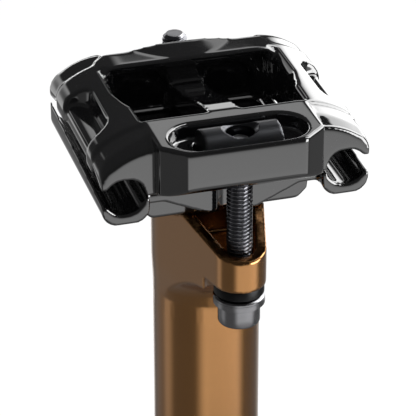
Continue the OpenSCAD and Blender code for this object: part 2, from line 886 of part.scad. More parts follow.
trough_in = rail_x - 4.5;
trough_out = half_w - 0.1;
trough_low = -6;
trough_round = 3.1;
wall_front = -1.6;
wall_rear = 0.8;
belly_y = 13.2;
belly_x = 17.2;
body_top = -1.6;

// Half section of the cradle's rail trough
module trough_section() {
    difference() {
        union() {
            for (x = [trough_in + trough_round, trough_out - trough_round])
                translate([x, trough_low + trough_round]) circle(r = trough_round);
            translate([trough_in + trough_round, trough_low])
                square([trough_out - trough_in - 2 * trough_round, 5]);
            translate([trough_in, trough_low + trough_round])
                square([trough_out - trough_in, part_z - 0.3 - trough_low - trough_round]);
            translate([rail_x, -cut]) square([trough_out - rail_x, 2 * cut + wall_rear]);
        }
        groove_section(mouth_z);
        translate([rail_x, 0]) square([mouth_x + mouth_r - rail_x, 2 * rail_d]);
    }
}

// The outer walls' tops rise a little towards the rear
module wall_cut() {
    slope = atan((wall_rear - wall_front) / clamp_len);
    translate([rail_x, -half_len, wall_front]) rotate([slope, 0, 0]) translate([0, -clamp_len, 0])
        cube([rail_d, 3 * clamp_len, rail_d]);
}

// Body between the troughs: its underside is the cylinder that tilts on the head
module cradle_body() {
    contact_x = head_r + 0.3;
    low = tilt_z - saddle_r;
    rise = belly_x - contact_x;
    intersection() {
        along_y(-belly_y, belly_y) polygon([[-contact_x, low], [contact_x, low],
            [belly_x, low + rise], [belly_x + 1, body_top], [-belly_x - 1, body_top], [-belly_x, low + rise]]);
        cross_rod(saddle_r - run_gap, 3 * rail_pitch, 0, tilt_z);
    }
}

// Wings from the body to the troughs' ends, with an open notch for each bolt
module cradle_wings() {
    wing_y = bolt_y - 4.7;
    both_sides() both_ends() rotate([90, 0, 0]) linear_extrude(wing_y) polygon([
        [0, body_top], [0, -8], [5, -8], [14, -4], [belly_x + 2, -4], [belly_x + 2, body_top]]);
}

notch_r = bolt_r + 1.4;
notch_swing = 2.6;

module bolt_notch() {
    translate([0, notch_swing - bolt_y, 0]) rod(notch_r, -20, 1);
    translate([-notch_r, -half_len, -20]) cube([2 * notch_r, half_len - bolt_y + notch_swing, 21]);
}

module lower_cradle() {
    color("#1a1a1a") rail_frame() difference() {
        union() {
            both_sides() along_y(-half_len, half_len) trough_section();
            cradle_body();
            cradle_wings();
        }
        // Two pockets each side of the middle rib
        both_sides() both_ends() pocket(belly_x - 2.6);
        both_ends() bolt_notch();
        both_sides() {
            along_y(-half_len - cut, half_len + cut) groove_section(mouth_z);
            wall_cut();
        }
    }
}

module pocket(outer_x) {
    corner = 2;
    inner = 3.6;
    front = 2.6 - belly_y;
    back = -1;
    floor_z = -8.2;
    translate([0, 0, floor_z]) linear_extrude(20) {
        translate([inner + corner, front]) square([outer_x - inner - 2 * corner, back - front]);
        translate([inner, front + corner]) square([outer_x - inner, back - front - 2 * corner]);
        for (x = [inner + corner, outer_x - corner], y = [front + corner, back - corner])
            translate([x, y]) circle(r = corner);
    }
}

// Nuts, bolts and washers of the clamp

module barrel_nut(y, z) {
    sink = 1.3;
    color("#3b3d40") rail_frame() difference() {
        cross_rod(nut_r, nut_len, y, z);
        translate([0, y, z]) {
            rod(nut_bore, -nut_d, nut_d);
            translate([0, 0, nut_r - sink]) cylinder(r1 = nut_bore, r2 = nut_bore + 0.9 * sink, h = sink);
            translate([0, 0, nut_r - 0.01]) cylinder(r = nut_bore + 0.9 * sink, h = cut);
        }
    }
}

module clamp_bolt(y, rise) {
    head = -bolt_low + rise;
    neck = head + bolt_head_h;
    tip = neck + bolt_len;
    outer = bolt_head_d / 2;
    color("#8c8c8c") rail_frame() translate([0, y, 0]) difference() {
        rotate_extrude() polygon([[0, head], [outer - head_bevel, head], [outer, head + head_bevel],
            [outer, neck], [bolt_r, neck], [bolt_r, tip - tip_bevel], [bolt_r - tip_bevel, tip], [0, tip]]);
        // Socket for a hexagon key
        translate([0, 0, head - cut])
            cylinder(r = hex_key / sqrt(3), h = 0.7 * hex_key + cut, $fn = 6);
    }
}

// Height of the ball's centre for the two washers under an ear
function ball_z(rise) = -ear_z + rise - seat_t + 0.9 - seat_ball_r;

module seat_washer(y, rise) {
    color("#161616") rail_frame() translate([0, y, 0]) rotate_extrude() difference() {
        translate([bolt_r + 0.45, -ear_z + rise - seat_t]) square([flange_r - 0.15 - bolt_r - 0.45, seat_t]);
        translate([0, ball_z(rise)]) circle(r = seat_ball_r + run_gap);
    }
}

module flange_washer(y, rise) {
    low = -bolt_low + rise + bolt_head_h;
    color("#8c8c8c") rail_frame() translate([0, y, 0]) rotate_extrude() intersection() {
        translate([bolt_r + fit_gap, low]) square([flange_r - bolt_r - fit_gap, flange_t + 2]);
        union() {
            translate([0, ball_z(rise)]) circle(r = seat_ball_r);
            translate([0, low]) square([flange_r, flange_t - 0.7]);
        }
    }
}

module front_barrel_nut() { barrel_nut(-bolt_y, front_nut_z); }
module rear_barrel_nut() { barrel_nut(bolt_y, rear_nut_z); }
module front_bolt() { clamp_bolt(-bolt_y, 0); }
module rear_bolt() { clamp_bolt(bolt_y, rear_rise); }
module front_seat_washer() { seat_washer(-bolt_y, 0); }
module rear_seat_washer() { seat_washer(bolt_y, rear_rise); }
module front_flange_washer() { flange_washer(-bolt_y, 0); }
module rear_flange_washer() { flange_washer(bolt_y, rear_rise); }

lower_post();
collar();
wiper_seal();
foam_ring();
upper_bushing();
bottom_bumper();
actuator_housing();
housing_bolts();
lever_pivot_pin();
actuator_lever();
cable_barrel();
barrel_grub_screw();
cable_stop();
return_spring();
valve_rod();
piston_rod();
piston();
piston_seal();
upper_post();
lower_bushing();
guide_keys();
cartridge_body();
cartridge_cap();
floating_piston();
floating_seal();
rod_gland();
rod_seal();
top_out_bumper();
lower_cradle();
upper_clamp();
front_barrel_nut();
rear_barrel_nut();
front_bolt();
rear_bolt();
front_seat_washer();
rear_seat_washer();
front_flange_washer();
rear_flange_washer();
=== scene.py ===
"""Looks of the dropper seatpost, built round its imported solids.

Millimetre sizes are turned to metres by MM. +Z runs up along the post, +X is sideways and -Y is the
side that the photograph shows. Each class below is one sub-assembly of the real post.
"""

import logging
import math
from collections.abc import Callable
from dataclasses import dataclass, field
from enum import Enum

import bmesh
import bpy
import numpy as np
from mathutils import Matrix, Vector
from mathutils.bvhtree import BVHTree


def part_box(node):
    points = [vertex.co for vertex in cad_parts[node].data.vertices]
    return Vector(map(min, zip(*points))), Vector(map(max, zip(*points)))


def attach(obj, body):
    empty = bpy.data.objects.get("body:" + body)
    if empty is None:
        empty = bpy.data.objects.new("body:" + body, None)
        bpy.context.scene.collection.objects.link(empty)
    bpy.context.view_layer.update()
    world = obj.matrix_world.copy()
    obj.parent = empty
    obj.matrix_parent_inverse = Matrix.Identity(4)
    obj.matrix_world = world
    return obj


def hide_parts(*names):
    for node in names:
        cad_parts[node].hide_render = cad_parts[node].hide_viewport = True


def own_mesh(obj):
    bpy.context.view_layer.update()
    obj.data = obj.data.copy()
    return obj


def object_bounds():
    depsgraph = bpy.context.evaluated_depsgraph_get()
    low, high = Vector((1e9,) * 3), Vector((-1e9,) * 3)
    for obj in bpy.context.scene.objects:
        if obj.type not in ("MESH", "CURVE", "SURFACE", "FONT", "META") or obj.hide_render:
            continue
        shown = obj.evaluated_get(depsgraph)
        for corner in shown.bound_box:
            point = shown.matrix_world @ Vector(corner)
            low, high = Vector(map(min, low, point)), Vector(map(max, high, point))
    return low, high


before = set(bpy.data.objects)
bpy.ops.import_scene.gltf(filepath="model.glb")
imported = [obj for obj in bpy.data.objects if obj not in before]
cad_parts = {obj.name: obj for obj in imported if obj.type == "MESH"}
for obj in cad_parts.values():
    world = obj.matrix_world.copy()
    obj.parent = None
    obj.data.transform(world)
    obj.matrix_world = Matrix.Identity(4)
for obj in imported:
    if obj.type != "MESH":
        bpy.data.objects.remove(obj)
CAD_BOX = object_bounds()
MM = 0.001
log = logging.getLogger("seatpost")
Piece = bpy.types.Object
Rule = Callable[[np.ndarray], None]


# Colours, nodes and finishes

def linear(code: str) -> tuple[float, float, float, float]:
    """Turns an sRGB hex colour into the linear colour that the shader takes.

    Args:
        code: six hex digits, such as "b08454".

    Returns:
        Red, green, blue and an alpha of 1.
    """
    parts = np.array([int(code[i:i + 2], 16) for i in (0, 2, 4)]) / 255
    flat = np.where(parts <= 0.04045, parts / 12.92, ((parts + 0.055) / 1.055) ** 2.4)
    return (*map(float, flat), 1.0)


def add_node(tree: bpy.types.NodeTree, kind: str, settings: dict | None = None,
             inputs: dict | None = None) -> bpy.types.Node:
    """Adds one shader node with its settings and links.

    Args:
        tree: the node tree that gets the node.
        kind: the node's type name, without the ShaderNode that all of them start with.
        settings: the node's own properties, by name.
        inputs: socket values by name or number. A socket is linked, and a node by its first output.

    Returns:
        The new node.
    """
    made = tree.nodes.new("ShaderNode" + kind)
    for key, value in (settings or {}).items():
        setattr(made, key, value)
    for key, value in (inputs or {}).items():
        if isinstance(value, bpy.types.Node):
            value = value.outputs[0]
        if isinstance(value, bpy.types.NodeSocket):
            tree.links.new(value, made.inputs[key])
        else:
            made.inputs[key].default_value = value
    return made


def blank_material(name: str) -> tuple[bpy.types.Material, bpy.types.NodeTree]:
    """Makes a material without nodes.

    Args:
        name: the material's name.

    Returns:
        The material and its empty node tree.
    """
    made = bpy.data.materials.new(name)
    made.use_nodes = True
    made.node_tree.nodes.clear()
    return made, made.node_tree


class Grain(Enum):
    """How a surface was made, as the stretch of its marks along X, Y and Z."""

    ROUND = (1.0, 1.0, 1.0)
    TURNED = (0.03, 0.03, 1.0)
    TURNED_ACROSS = (1.0, 0.03, 0.03)
    MILLED = (1.0, 0.06, 1.0)


@dataclass(frozen=True)
class Finish:
    """One material: what it is made of and the marks that its making leaves.

    The colour drifts between two close hex values over patches of drift_mm. Marks of mark_mm, stretched
    as the grain says, change the roughness by rough_spread and raise the surface by mark_high_mm.
    """

    name: str
    colour: str
    shade: str
    metallic: float
    roughness: float
    rough_spread: float
    mark_mm: float
    mark_high_mm: float
    grain: Grain = Grain.ROUND
    drift_mm: float = 6.0
    coat: float = 0.0
    coat_roughness: float = 0.05
    ior: float = 1.5
    anisotropic: float = 0.0

    def build(self) -> bpy.types.Material:
        """Makes the material once; later calls find the same one.

        Returns:
            The material.
        """
        found = bpy.data.materials.get(self.name)
        if found:
            return found
        made, tree = blank_material(self.name)
        place = add_node(tree, "TexCoord").outputs["Object"]
        marks = add_node(tree, "Mapping", inputs={"Vector": place, "Scale": self.grain.value})
        fine = add_node(tree, "TexNoise", inputs={"Vector": marks, "Scale": 1 / (self.mark_mm * MM),
            "Detail": 3.0, "Roughness": 0.6})
        broad = add_node(tree, "TexNoise", inputs={"Vector": place, "Scale": 1 / (self.drift_mm * MM),
            "Detail": 2.0, "Roughness": 0.5})
        tint = add_node(tree, "Mix", {"data_type": "RGBA"}, {0: broad, 6: linear(self.colour),
            7: linear(self.shade)})
        rough = add_node(tree, "MapRange", inputs={"Value": fine, "From Min": 0.3, "From Max": 0.7,
            "To Min": max(self.roughness - self.rough_spread, 0.02),
            "To Max": self.roughness + self.rough_spread})
        bump = add_node(tree, "Bump", inputs={"Height": fine, "Distance": self.mark_high_mm * MM,
            "Strength": 1.0})
        shader = add_node(tree, "BsdfPrincipled", inputs={"Base Color": tint.outputs[2],
            "Metallic": self.metallic, "Roughness": rough, "IOR": self.ior, "Normal": bump,
            "Coat Weight": self.coat, "Coat Roughness": self.coat_roughness,
            "Anisotropic": self.anisotropic})
        add_node(tree, "OutputMaterial", inputs={"Surface": shader})
        return made


# Each row has the name, colour, shade, metallic, roughness, its spread, and the marks' width and height
# in millimetres, and then what differs from the defaults.

# Hard-anodised aluminium, polished and then dyed bronze-gold: a satin metal under a clear hard skin.
GOLD_ANODISED = Finish("gold_hard_anodised_aluminium", "bd8649", "b67f44", 1.0, 0.2, 0.01, 0.5, 0.00005,
    Grain.TURNED, drift_mm=14, coat=1.0, coat_roughness=0.16)
# Forged aluminium, polished and dyed black: a deep gloss with only faint buffing marks.
BLACK_FORGING = Finish("polished_black_anodised_forging", "0b0b0c", "0f0f10", 0.0, 0.07, 0.015, 1.6,
    0.0002, ior=2.0, coat=1.0, coat_roughness=0.04)
# Turned steel under a thin clear zinc: silver with fine rings.
BRUSHED_STEEL = Finish("turned_zinc_plated_steel", "a2a2a4", "8f8f92", 1.0, 0.24, 0.03, 0.3, 0.0003,
    Grain.TURNED, anisotropic=0.2)
# Cut steel thread, a darker grey than the turned steel from oil and black oxide.
THREAD_STEEL = Finish("cut_steel_thread", "96969a", "77777b", 1.0, 0.22, 0.03, 0.3, 0.0001)
# The bolt's faced end, left bright.
BRIGHT_END = Finish("faced_bolt_end_steel", "d2d2d4", "c6c6c9", 1.0, 0.3, 0.05, 0.3, 0.0008,
    Grain.TURNED)
# Turned barrel nuts, black oxide over steel: dark with a soft sheen.
DARK_STEEL = Finish("black_oxide_barrel_nut_steel", "5c5d60", "525356", 1.0, 0.3, 0.02, 0.4, 0.0001,
    Grain.TURNED_ACROSS)
# Black oxide on the cupped washers: matt and nearly black.
BLACK_OXIDE = Finish("black_oxide_washer_steel", "1b1b1c", "141415", 0.6, 0.38, 0.08, 0.3, 0.003,
    Grain.TURNED)
# Bead-blasted and anodised lower tube: an even satin black.
BLACK_TUBE = Finish("blasted_black_anodised_tube", "1a1a1c", "161617", 0.0, 0.42, 0.05, 0.35, 0.006,
    ior=1.6, coat=0.25, coat_roughness=0.3)
# Machined housing parts, black anodised: tool marks under a satin black.
BLACK_MACHINED = Finish("machined_black_anodised_aluminium", "202023", "18181a", 0.3, 0.34, 0.07, 0.5,
    0.004, Grain.MILLED)
# Nitrile rubber, moulded: matt with a fine pebble.
SEAL_RUBBER = Finish("moulded_nitrile_rubber", "151515", "1b1b1b", 0.0, 0.62, 0.08, 0.3, 0.01)
# Polyurethane bumpers, moulded: a little lighter and softer than the seals.
BUMPER_RUBBER = Finish("moulded_polyurethane_bumper", "2b2b2b", "232323", 0.0, 0.55, 0.08, 0.5, 0.01)
# Open foam that holds grease: coarse pores and a damp look.
OILED_FOAM = Finish("oil_soaked_foam", "4d4a38", "332f22", 0.0, 0.5, 0.2, 0.8, 0.15, drift_mm=2.5)
# Bushing strip of sintered bronze with a filled liner: dull and speckled.
BUSHING = Finish("sintered_bronze_bushing_strip", "8a7d5c", "6c6450", 0.7, 0.5, 0.08, 0.3, 0.006,
    drift_mm=1.5)
# Turned brass, slightly dulled by handling.
TURNED_BRASS = Finish("turned_brass", "c9a65a", "b48f47", 1.0, 0.26, 0.08, 0.3, 0.003, Grain.TURNED)
# Milled aluminium, clear anodised: pale grey with straight cutter marks.
SILVER_ALLOY = Finish("clear_anodised_milled_aluminium", "a9abae", "999b9f", 1.0, 0.33, 0.07, 0.4, 0.004,
    Grain.MILLED)
# Ground and polished pin steel.
GROUND_STEEL = Finish("ground_pin_steel", "c4c6c9", "b6b8bc", 1.0, 0.18, 0.05, 0.25, 0.002, Grain.TURNED)
# Hard chrome on the cartridge's rod: close to a mirror.
HARD_CHROME = Finish("hard_chromed_rod_steel", "d0d2d5", "c6c8cc", 1.0, 0.09, 0.03, 0.3, 0.001,
    Grain.TURNED)
# Spring wire, drawn and shot-peened.
SPRING_WIRE = Finish("drawn_spring_wire", "9fa1a5", "888a8f", 1.0, 0.3, 0.08, 0.2, 0.004)
# Cartridge end pieces, dark blue anodised.
BLUE_ALLOY = Finish("dark_blue_anodised_aluminium", "233457", "1c2a49", 0.8, 0.3, 0.06, 0.4, 0.003,
    Grain.TURNED)


# Surfaces

def curve_corners(points: list, radius: float, steps: int = 4) -> np.ndarray:
    """Rounds the corners of an outline.

    Each inner corner C is replaced by the quadratic curve (1-s)^2 A + 2s(1-s) C + s^2 B, where A and B
    lie on the two edges at the radius from C, and s runs from 0 to 1.

    Args:
        points: the outline's corners.
        radius: how far from its corner each curve starts and ends.
        steps: stations on each curve.

    Returns:
        The rounded outline, with its two end points kept.
    """
    corners = np.asarray(points, float)
    inner = corners[1:-1]
    back, on = corners[:-2] - inner, corners[2:] - inner
    back_len = np.linalg.norm(back, axis=1, keepdims=True)
    on_len = np.linalg.norm(on, axis=1, keepdims=True)
    start = inner + back / back_len * np.minimum(radius, back_len * 0.49)
    end = inner + on / on_len * np.minimum(radius, on_len * 0.49)
    s = np.linspace(0, 1, steps)[None, :, None]
    bends = (1 - s) ** 2 * start[:, None] + 2 * s * (1 - s) * inner[:, None] + s ** 2 * end[:, None]
    return np.concatenate([corners[:1], bends.reshape(-1, corners.shape[1]), corners[-1:]])


def ring_points(radius: np.ndarray, height: np.ndarray, sides: int) -> np.ndarray:
    """Points (r cos a, r sin a, z) at even angles a, with one ring for each row of radius."""
    angle = np.arange(sides) * 2 * np.pi / sides
    return np.stack(np.broadcast_arrays(radius * np.cos(angle), radius * np.sin(angle), height), -1)


def turned(profile: np.ndarray, sides: int) -> np.ndarray:
    """Revolves a profile, whose rows are radius and height in millimetres, round the Z axis."""
    return ring_points(profile[:, :1], profile[:, 1:], sides)


def pressed_in(points: np.ndarray, depth: np.ndarray) -> None:
    """Moves points in place towards the Z axis, each by its own depth in millimetres."""
    radius = np.maximum(np.hypot(points[..., 0], points[..., 1]), 0.1)
    points[..., :2] *= ((radius - depth) / radius)[..., None]


def skin(name: str, rings: np.ndarray, loop: bool = False) -> Piece:
    """Joins rings of points into one mesh object.

    Point j of ring i meets point j + 1 of the same ring and point j of ring i + 1. Rings whose points
    coincide become poles. The faces are turned outwards by the sign of the enclosed volume.

    Args:
        name: the piece's name.
        rings: points in millimetres, of shape (rings, sides, 3).
        loop: whether the last ring joins the first one.

    Returns:
        The new object.
    """
    count, sides = rings.shape[:2]
    here = np.arange(count * sides).reshape(count, sides)
    low = here if loop else here[:-1]
    high = np.roll(here, -1, 0) if loop else here[1:]
    faces = np.stack([low, np.roll(low, -1, 1), np.roll(high, -1, 1), high], -1).reshape(-1, 4)
    points = rings.reshape(-1, 3)
    a, b, c, d = (points[faces[:, k]] for k in range(4))
    volume = np.einsum("ij,ij->", a, np.cross(b, c)) + np.einsum("ij,ij->", a, np.cross(c, d))
    if volume < 0:
        faces = faces[:, ::-1]
    mesh = bpy.data.meshes.new(name)
    mesh.from_pydata((points * MM).tolist(), [], faces.tolist())
    work = bmesh.new()
    work.from_mesh(mesh)
    bmesh.ops.remove_doubles(work, verts=work.verts, dist=1e-7)
    bmesh.ops.dissolve_degenerate(work, edges=work.edges, dist=1e-8)
    work.to_mesh(mesh)
    work.free()
    return shown(name, mesh)


def linked(name: str, data: bpy.types.ID) -> Piece:
    """Makes an object and links it to the scene.

    Args:
        name: the object's name.
        data: its mesh, lamp or camera.

    Returns:
        The new object.
    """
    made = bpy.data.objects.new(name, data)
    bpy.context.scene.collection.objects.link(made)
    return made


def shown(name: str, mesh: bpy.types.Mesh, sharp: float = 35.0) -> Piece:
    """Links a mesh to the scene as a smooth piece.

    Args:
        name: the piece's name.
        mesh: its mesh.
        sharp: edges sharper than this many degrees stay sharp.

    Returns:
        The new object.
    """
    made = linked(name, mesh)
    mesh.shade_smooth()
    mesh.set_sharp_from_angle(angle=math.radians(sharp))
    return made


def cad_copy(node: str) -> bmesh.types.BMesh:
    """Copies a solid's mesh and merges its loose triangles.

    Args:
        node: the solid.

    Returns:
        The copy, open for more work.
    """
    work = bmesh.new()
    work.from_mesh(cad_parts[node].data)
    bmesh.ops.remove_doubles(work, verts=work.verts, dist=2e-6)
    bmesh.ops.dissolve_degenerate(work, edges=work.edges, dist=1e-7)
    return work


def finished(source: Piece, name: str) -> Piece:
    """Applies an object's modifiers to a new mesh and removes the source.

    Args:
        source: the object with its modifiers.
        name: the new piece's name.

    Returns:
        The new object.
    """
    graph = bpy.context.evaluated_depsgraph_get()
    mesh = bpy.data.meshes.new_from_object(source.evaluated_get(graph))
    mesh.name = name
    mesh.materials.clear()
    bpy.data.objects.remove(source)
    return shown(name, mesh, 60.0)


def moved(mesh: bpy.types.Mesh, rule: Rule) -> None:
    """Moves a mesh's points.

    Args:
        mesh: the mesh.
        rule: takes the points' places in millimetres and moves them in place.
    """
    points = np.empty(len(mesh.vertices) * 3)
    mesh.vertices.foreach_get("co", points)
    points = points.reshape(-1, 3) / MM
    rule(points)
    mesh.vertices.foreach_set("co", (points * MM).ravel())
    mesh.update()


def smooth_step(value: np.ndarray) -> np.ndarray:
    """3 t^2 - 2 t^3 of a value t held between 0 and 1."""
    t = np.clip(value, 0, 1)
    return t * t * (3 - 2 * t)


def unfinished(work: bmesh.types.BMesh, name: str) -> Piece:
    """Puts a worked mesh into a new object that still gets its modifiers.

    Args:
        work: the mesh, which is freed.
        name: the coming piece's name.

    Returns:
        The new object.
    """
    mesh = bpy.data.meshes.new(name)
    work.to_mesh(mesh)
    work.free()
    return linked(name + "_raw", mesh)


def cut_below(work: bmesh.types.BMesh, height_mm: float) -> list[bmesh.types.BMEdge]:
    """Removes what lies below a height and returns the edges of the cut."""
    cut = bmesh.ops.bisect_plane(work, geom=work.verts[:] + work.edges[:] + work.faces[:],
        plane_co=(0, 0, height_mm * MM), plane_no=(0, 0, 1), clear_inner=True)
    return [part for part in cut["geom_cut"] if isinstance(part, bmesh.types.BMEdge)]


def softened(node: str, name: str, voxel_mm: float, passes: int, cut_z: float | None = None,
             rule: Rule | None = None) -> Piece:
    """Rounds every edge of a solid as polishing does.

    The copy is rebuilt on a voxel grid and its points then move, passes times, half way to the mean of
    their neighbours. Flat faces stay where they are and edges gain a radius of one to two voxels.

    Args:
        node: the solid.
        name: the new piece's name.
        voxel_mm: the grid's spacing.
        passes: how often the points move.
        cut_z: where given, the piece is kept above this height only, and open there.
        rule: where given, it moves the grid's points before they are smoothed.

    Returns:
        The new object.
    """
    spare_voxels = 12
    work = cad_copy(node)
    if cut_z is not None:
        rim = cut_below(work, cut_z - spare_voxels * voxel_mm)
        bmesh.ops.triangle_fill(work, edges=rim, use_beauty=True)
    raw = unfinished(work, name)
    grid = raw.modifiers.new("grid", "REMESH")
    grid.mode, grid.voxel_size, grid.use_smooth_shade = "VOXEL", voxel_mm * MM, True
    made = finished(raw, name)
    if rule is not None:
        moved(made.data, rule)
    ease = made.modifiers.new("ease", "SMOOTH")
    ease.factor, ease.iterations = 0.5, passes
    made = finished(made, name)
    if cut_z is not None:
        work = bmesh.new()
        work.from_mesh(made.data)
        cut_below(work, cut_z)
        work.to_mesh(made.data)
        work.free()
    return made


def bevelled(node: str, name: str, width_mm: float) -> Piece:
    """Copies a solid and gives its edges of more than 28 degrees a small machined bevel.

    Args:
        node: the solid.
        name: the new piece's name.
        width_mm: the bevel's width.

    Returns:
        The new object.
    """
    work = cad_copy(node)
    bmesh.ops.dissolve_limit(work, angle_limit=math.radians(0.5), verts=work.verts, edges=work.edges)
    raw = unfinished(work, name)
    edge = raw.modifiers.new("edge", "BEVEL")
    edge.width, edge.segments, edge.limit_method = width_mm * MM, 2, "ANGLE"
    edge.angle_limit = math.radians(28)
    return finished(raw, name)


@dataclass
class SubAssembly:
    """A group of pieces that belong together, with what every group needs to dress and report them."""

    made: list = field(default_factory=list)

    def dress(self, piece: Piece, body: str, finish: Finish, slot: str, *stands_for: str) -> Piece:
        """Gives a piece its finish and its body, and hides the solids that it stands for.

        Args:
            piece: the new object.
            body: the body that it rides on.
            finish: its material.
            slot: the record's material slot.
            stands_for: the solids that it replaces.

        Returns:
            The piece.
        """
        piece.data.materials.clear()
        piece.data.materials.append(finish.build())
        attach(piece, body)
        if stands_for:
            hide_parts(*stands_for)
        self.made.append(piece.name)
        log.info("made %s on body %s", piece.name, body)
        return piece

    def keep(self, finish: Finish, *nodes: str) -> None:
        """Keeps solids as they are and gives them a finish.

        Args:
            finish: their material.
            nodes: the solids.
        """
        for node in nodes:
            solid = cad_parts[node]
            if not solid.data.materials:
                solid.data.materials.append(finish.build())
            for place in solid.material_slots:
                place.material = finish.build()
            self.made.append(node)
            log.info("kept %s as %s", node, finish.name)


def level(node: str, side: int) -> float:
    """Height of a solid's lowest (0) or highest (1) point, in millimetres."""
    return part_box(node)[side].z / MM


@dataclass
class LowerTube(SubAssembly):
    """The fixed tube with its collar, seals, bushings and bumpers."""

    collar_r: float = 16.5
    waist_r: float = 15.6
    waist_low: float = 10.0
    waist_high: float = 20.0
    waist_slope: float = 1.0
    foot_chamfer: float = 0.8
    top_chamfer: tuple = (1.4, 4.0)
    lip_wall: float = 1.3
    lip_deep: float = 1.2
    thread_r: float = 13.38
    thread_top: float = 16.1
    room_r: float = 13.0
    flutes: int = 12
    flute_r: float = 2.0
    flute_deep: float = 0.5
    flute_low: float = 11.5
    flute_high: float = 18.5
    flute_run: float = 0.8
    edge: float = 0.5
    sides: int = 480
    lip_r: float = 11.15

    def collar(self) -> None:
        """Turns the collar and cuts the grip flutes into its waist.

        A flute is a round groove of radius f whose axis stands upright at a distance c outside the
        waist. At angle b from its middle its wall lies at c cos b - sqrt(f^2 - (c sin b)^2), and the
        surface is the smaller of that and the waist's radius, blended back to the waist at the groove's
        two ends.
        """
        top, low, high = level("collar", 1), self.waist_low, self.waist_high
        lip = -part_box("wiper_seal")[0].x / MM - self.lip_wall
        r, waist, foot, slope = self.collar_r, self.waist_r, self.foot_chamfer, self.waist_slope
        outer = curve_corners([[self.thread_r, 0.3], [self.thread_r + 0.5, 0], [r - foot, 0], [r, foot],
            [r, low - slope], [waist, low], [waist, high], [r, high + slope],
            [r, top - self.top_chamfer[1]], [r - self.top_chamfer[0], top], [lip, top]], self.edge, 5)
        heights = np.linspace(low + 0.3, high - 0.3, 48)
        split = np.searchsorted(outer[:, 1] > low + 0.2, True)
        outer = np.concatenate([outer[:split], np.stack([np.full_like(heights, waist), heights], 1),
            outer[split:]])
        floor = top - self.lip_deep
        inner = np.array([[lip, floor], [self.room_r, floor], [self.room_r, self.thread_top],
            [self.thread_r, self.thread_top]])
        profile = np.concatenate([outer, inner])
        rings = turned(profile, self.sides)
        angle = np.arctan2(rings[..., 1], rings[..., 0])
        pace = 2 * np.pi / self.flutes
        off = np.mod(angle + pace / 2, pace) - pace / 2
        axis = waist + self.flute_r - self.flute_deep
        across = axis * np.sin(off)
        wall = axis * np.cos(off) - np.sqrt(np.maximum(self.flute_r ** 2 - across ** 2, 0))
        groove = np.maximum(0, waist - np.where(np.abs(across) < self.flute_r, wall, waist))
        z, run = rings[..., 2], self.flute_run
        step = np.clip((z - self.flute_low) / run, 0, 1) * np.clip((self.flute_high - z) / run, 0, 1)
        pressed_in(rings, groove * np.sqrt(step) * (np.arange(len(profile)) < len(outer))[:, None])
        self.dress(skin("collar_fluted", rings, loop=True), "lower", BLACK_MACHINED, "black_anodised",
            "collar")

    def wiper(self) -> None:
        """Turns the wiper seal, whose thin lip leans on the sliding tube."""
        low, top = level("wiper_seal", 0), level("wiper_seal", 1)
        inner, seat = self.lip_r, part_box("wiper_seal")[1].x / MM
        mouth, rounding = level("collar", 1), 0.12
        outline = [[inner, low], [seat, low], [seat, mouth - 1.25], [inner + 0.8, mouth - 1.25],
            [inner + 0.75, mouth + 0.4], [inner + 0.12, top], [inner, top - 0.5],
            [inner + 0.35, mouth - 1], [inner + 0.35, low + 2.5]]
        profile = curve_corners(outline + outline[:1], rounding)[1:-1]
        self.dress(skin("wiper_seal_lip", turned(profile, 128), loop=True), "lower", SEAL_RUBBER,
            "seal_rubber", "wiper_seal")

    def build(self) -> None:
        """Makes and dresses every piece of the fixed tube."""
        self.keep(BLACK_TUBE, "lower_post")
        self.collar()
        self.wiper()
        self.keep(OILED_FOAM, "foam_ring")
        self.keep(BUSHING, "upper_bushing", "lower_bushing")
        self.keep(BUMPER_RUBBER, "bottom_bumper", "top_out_bumper")


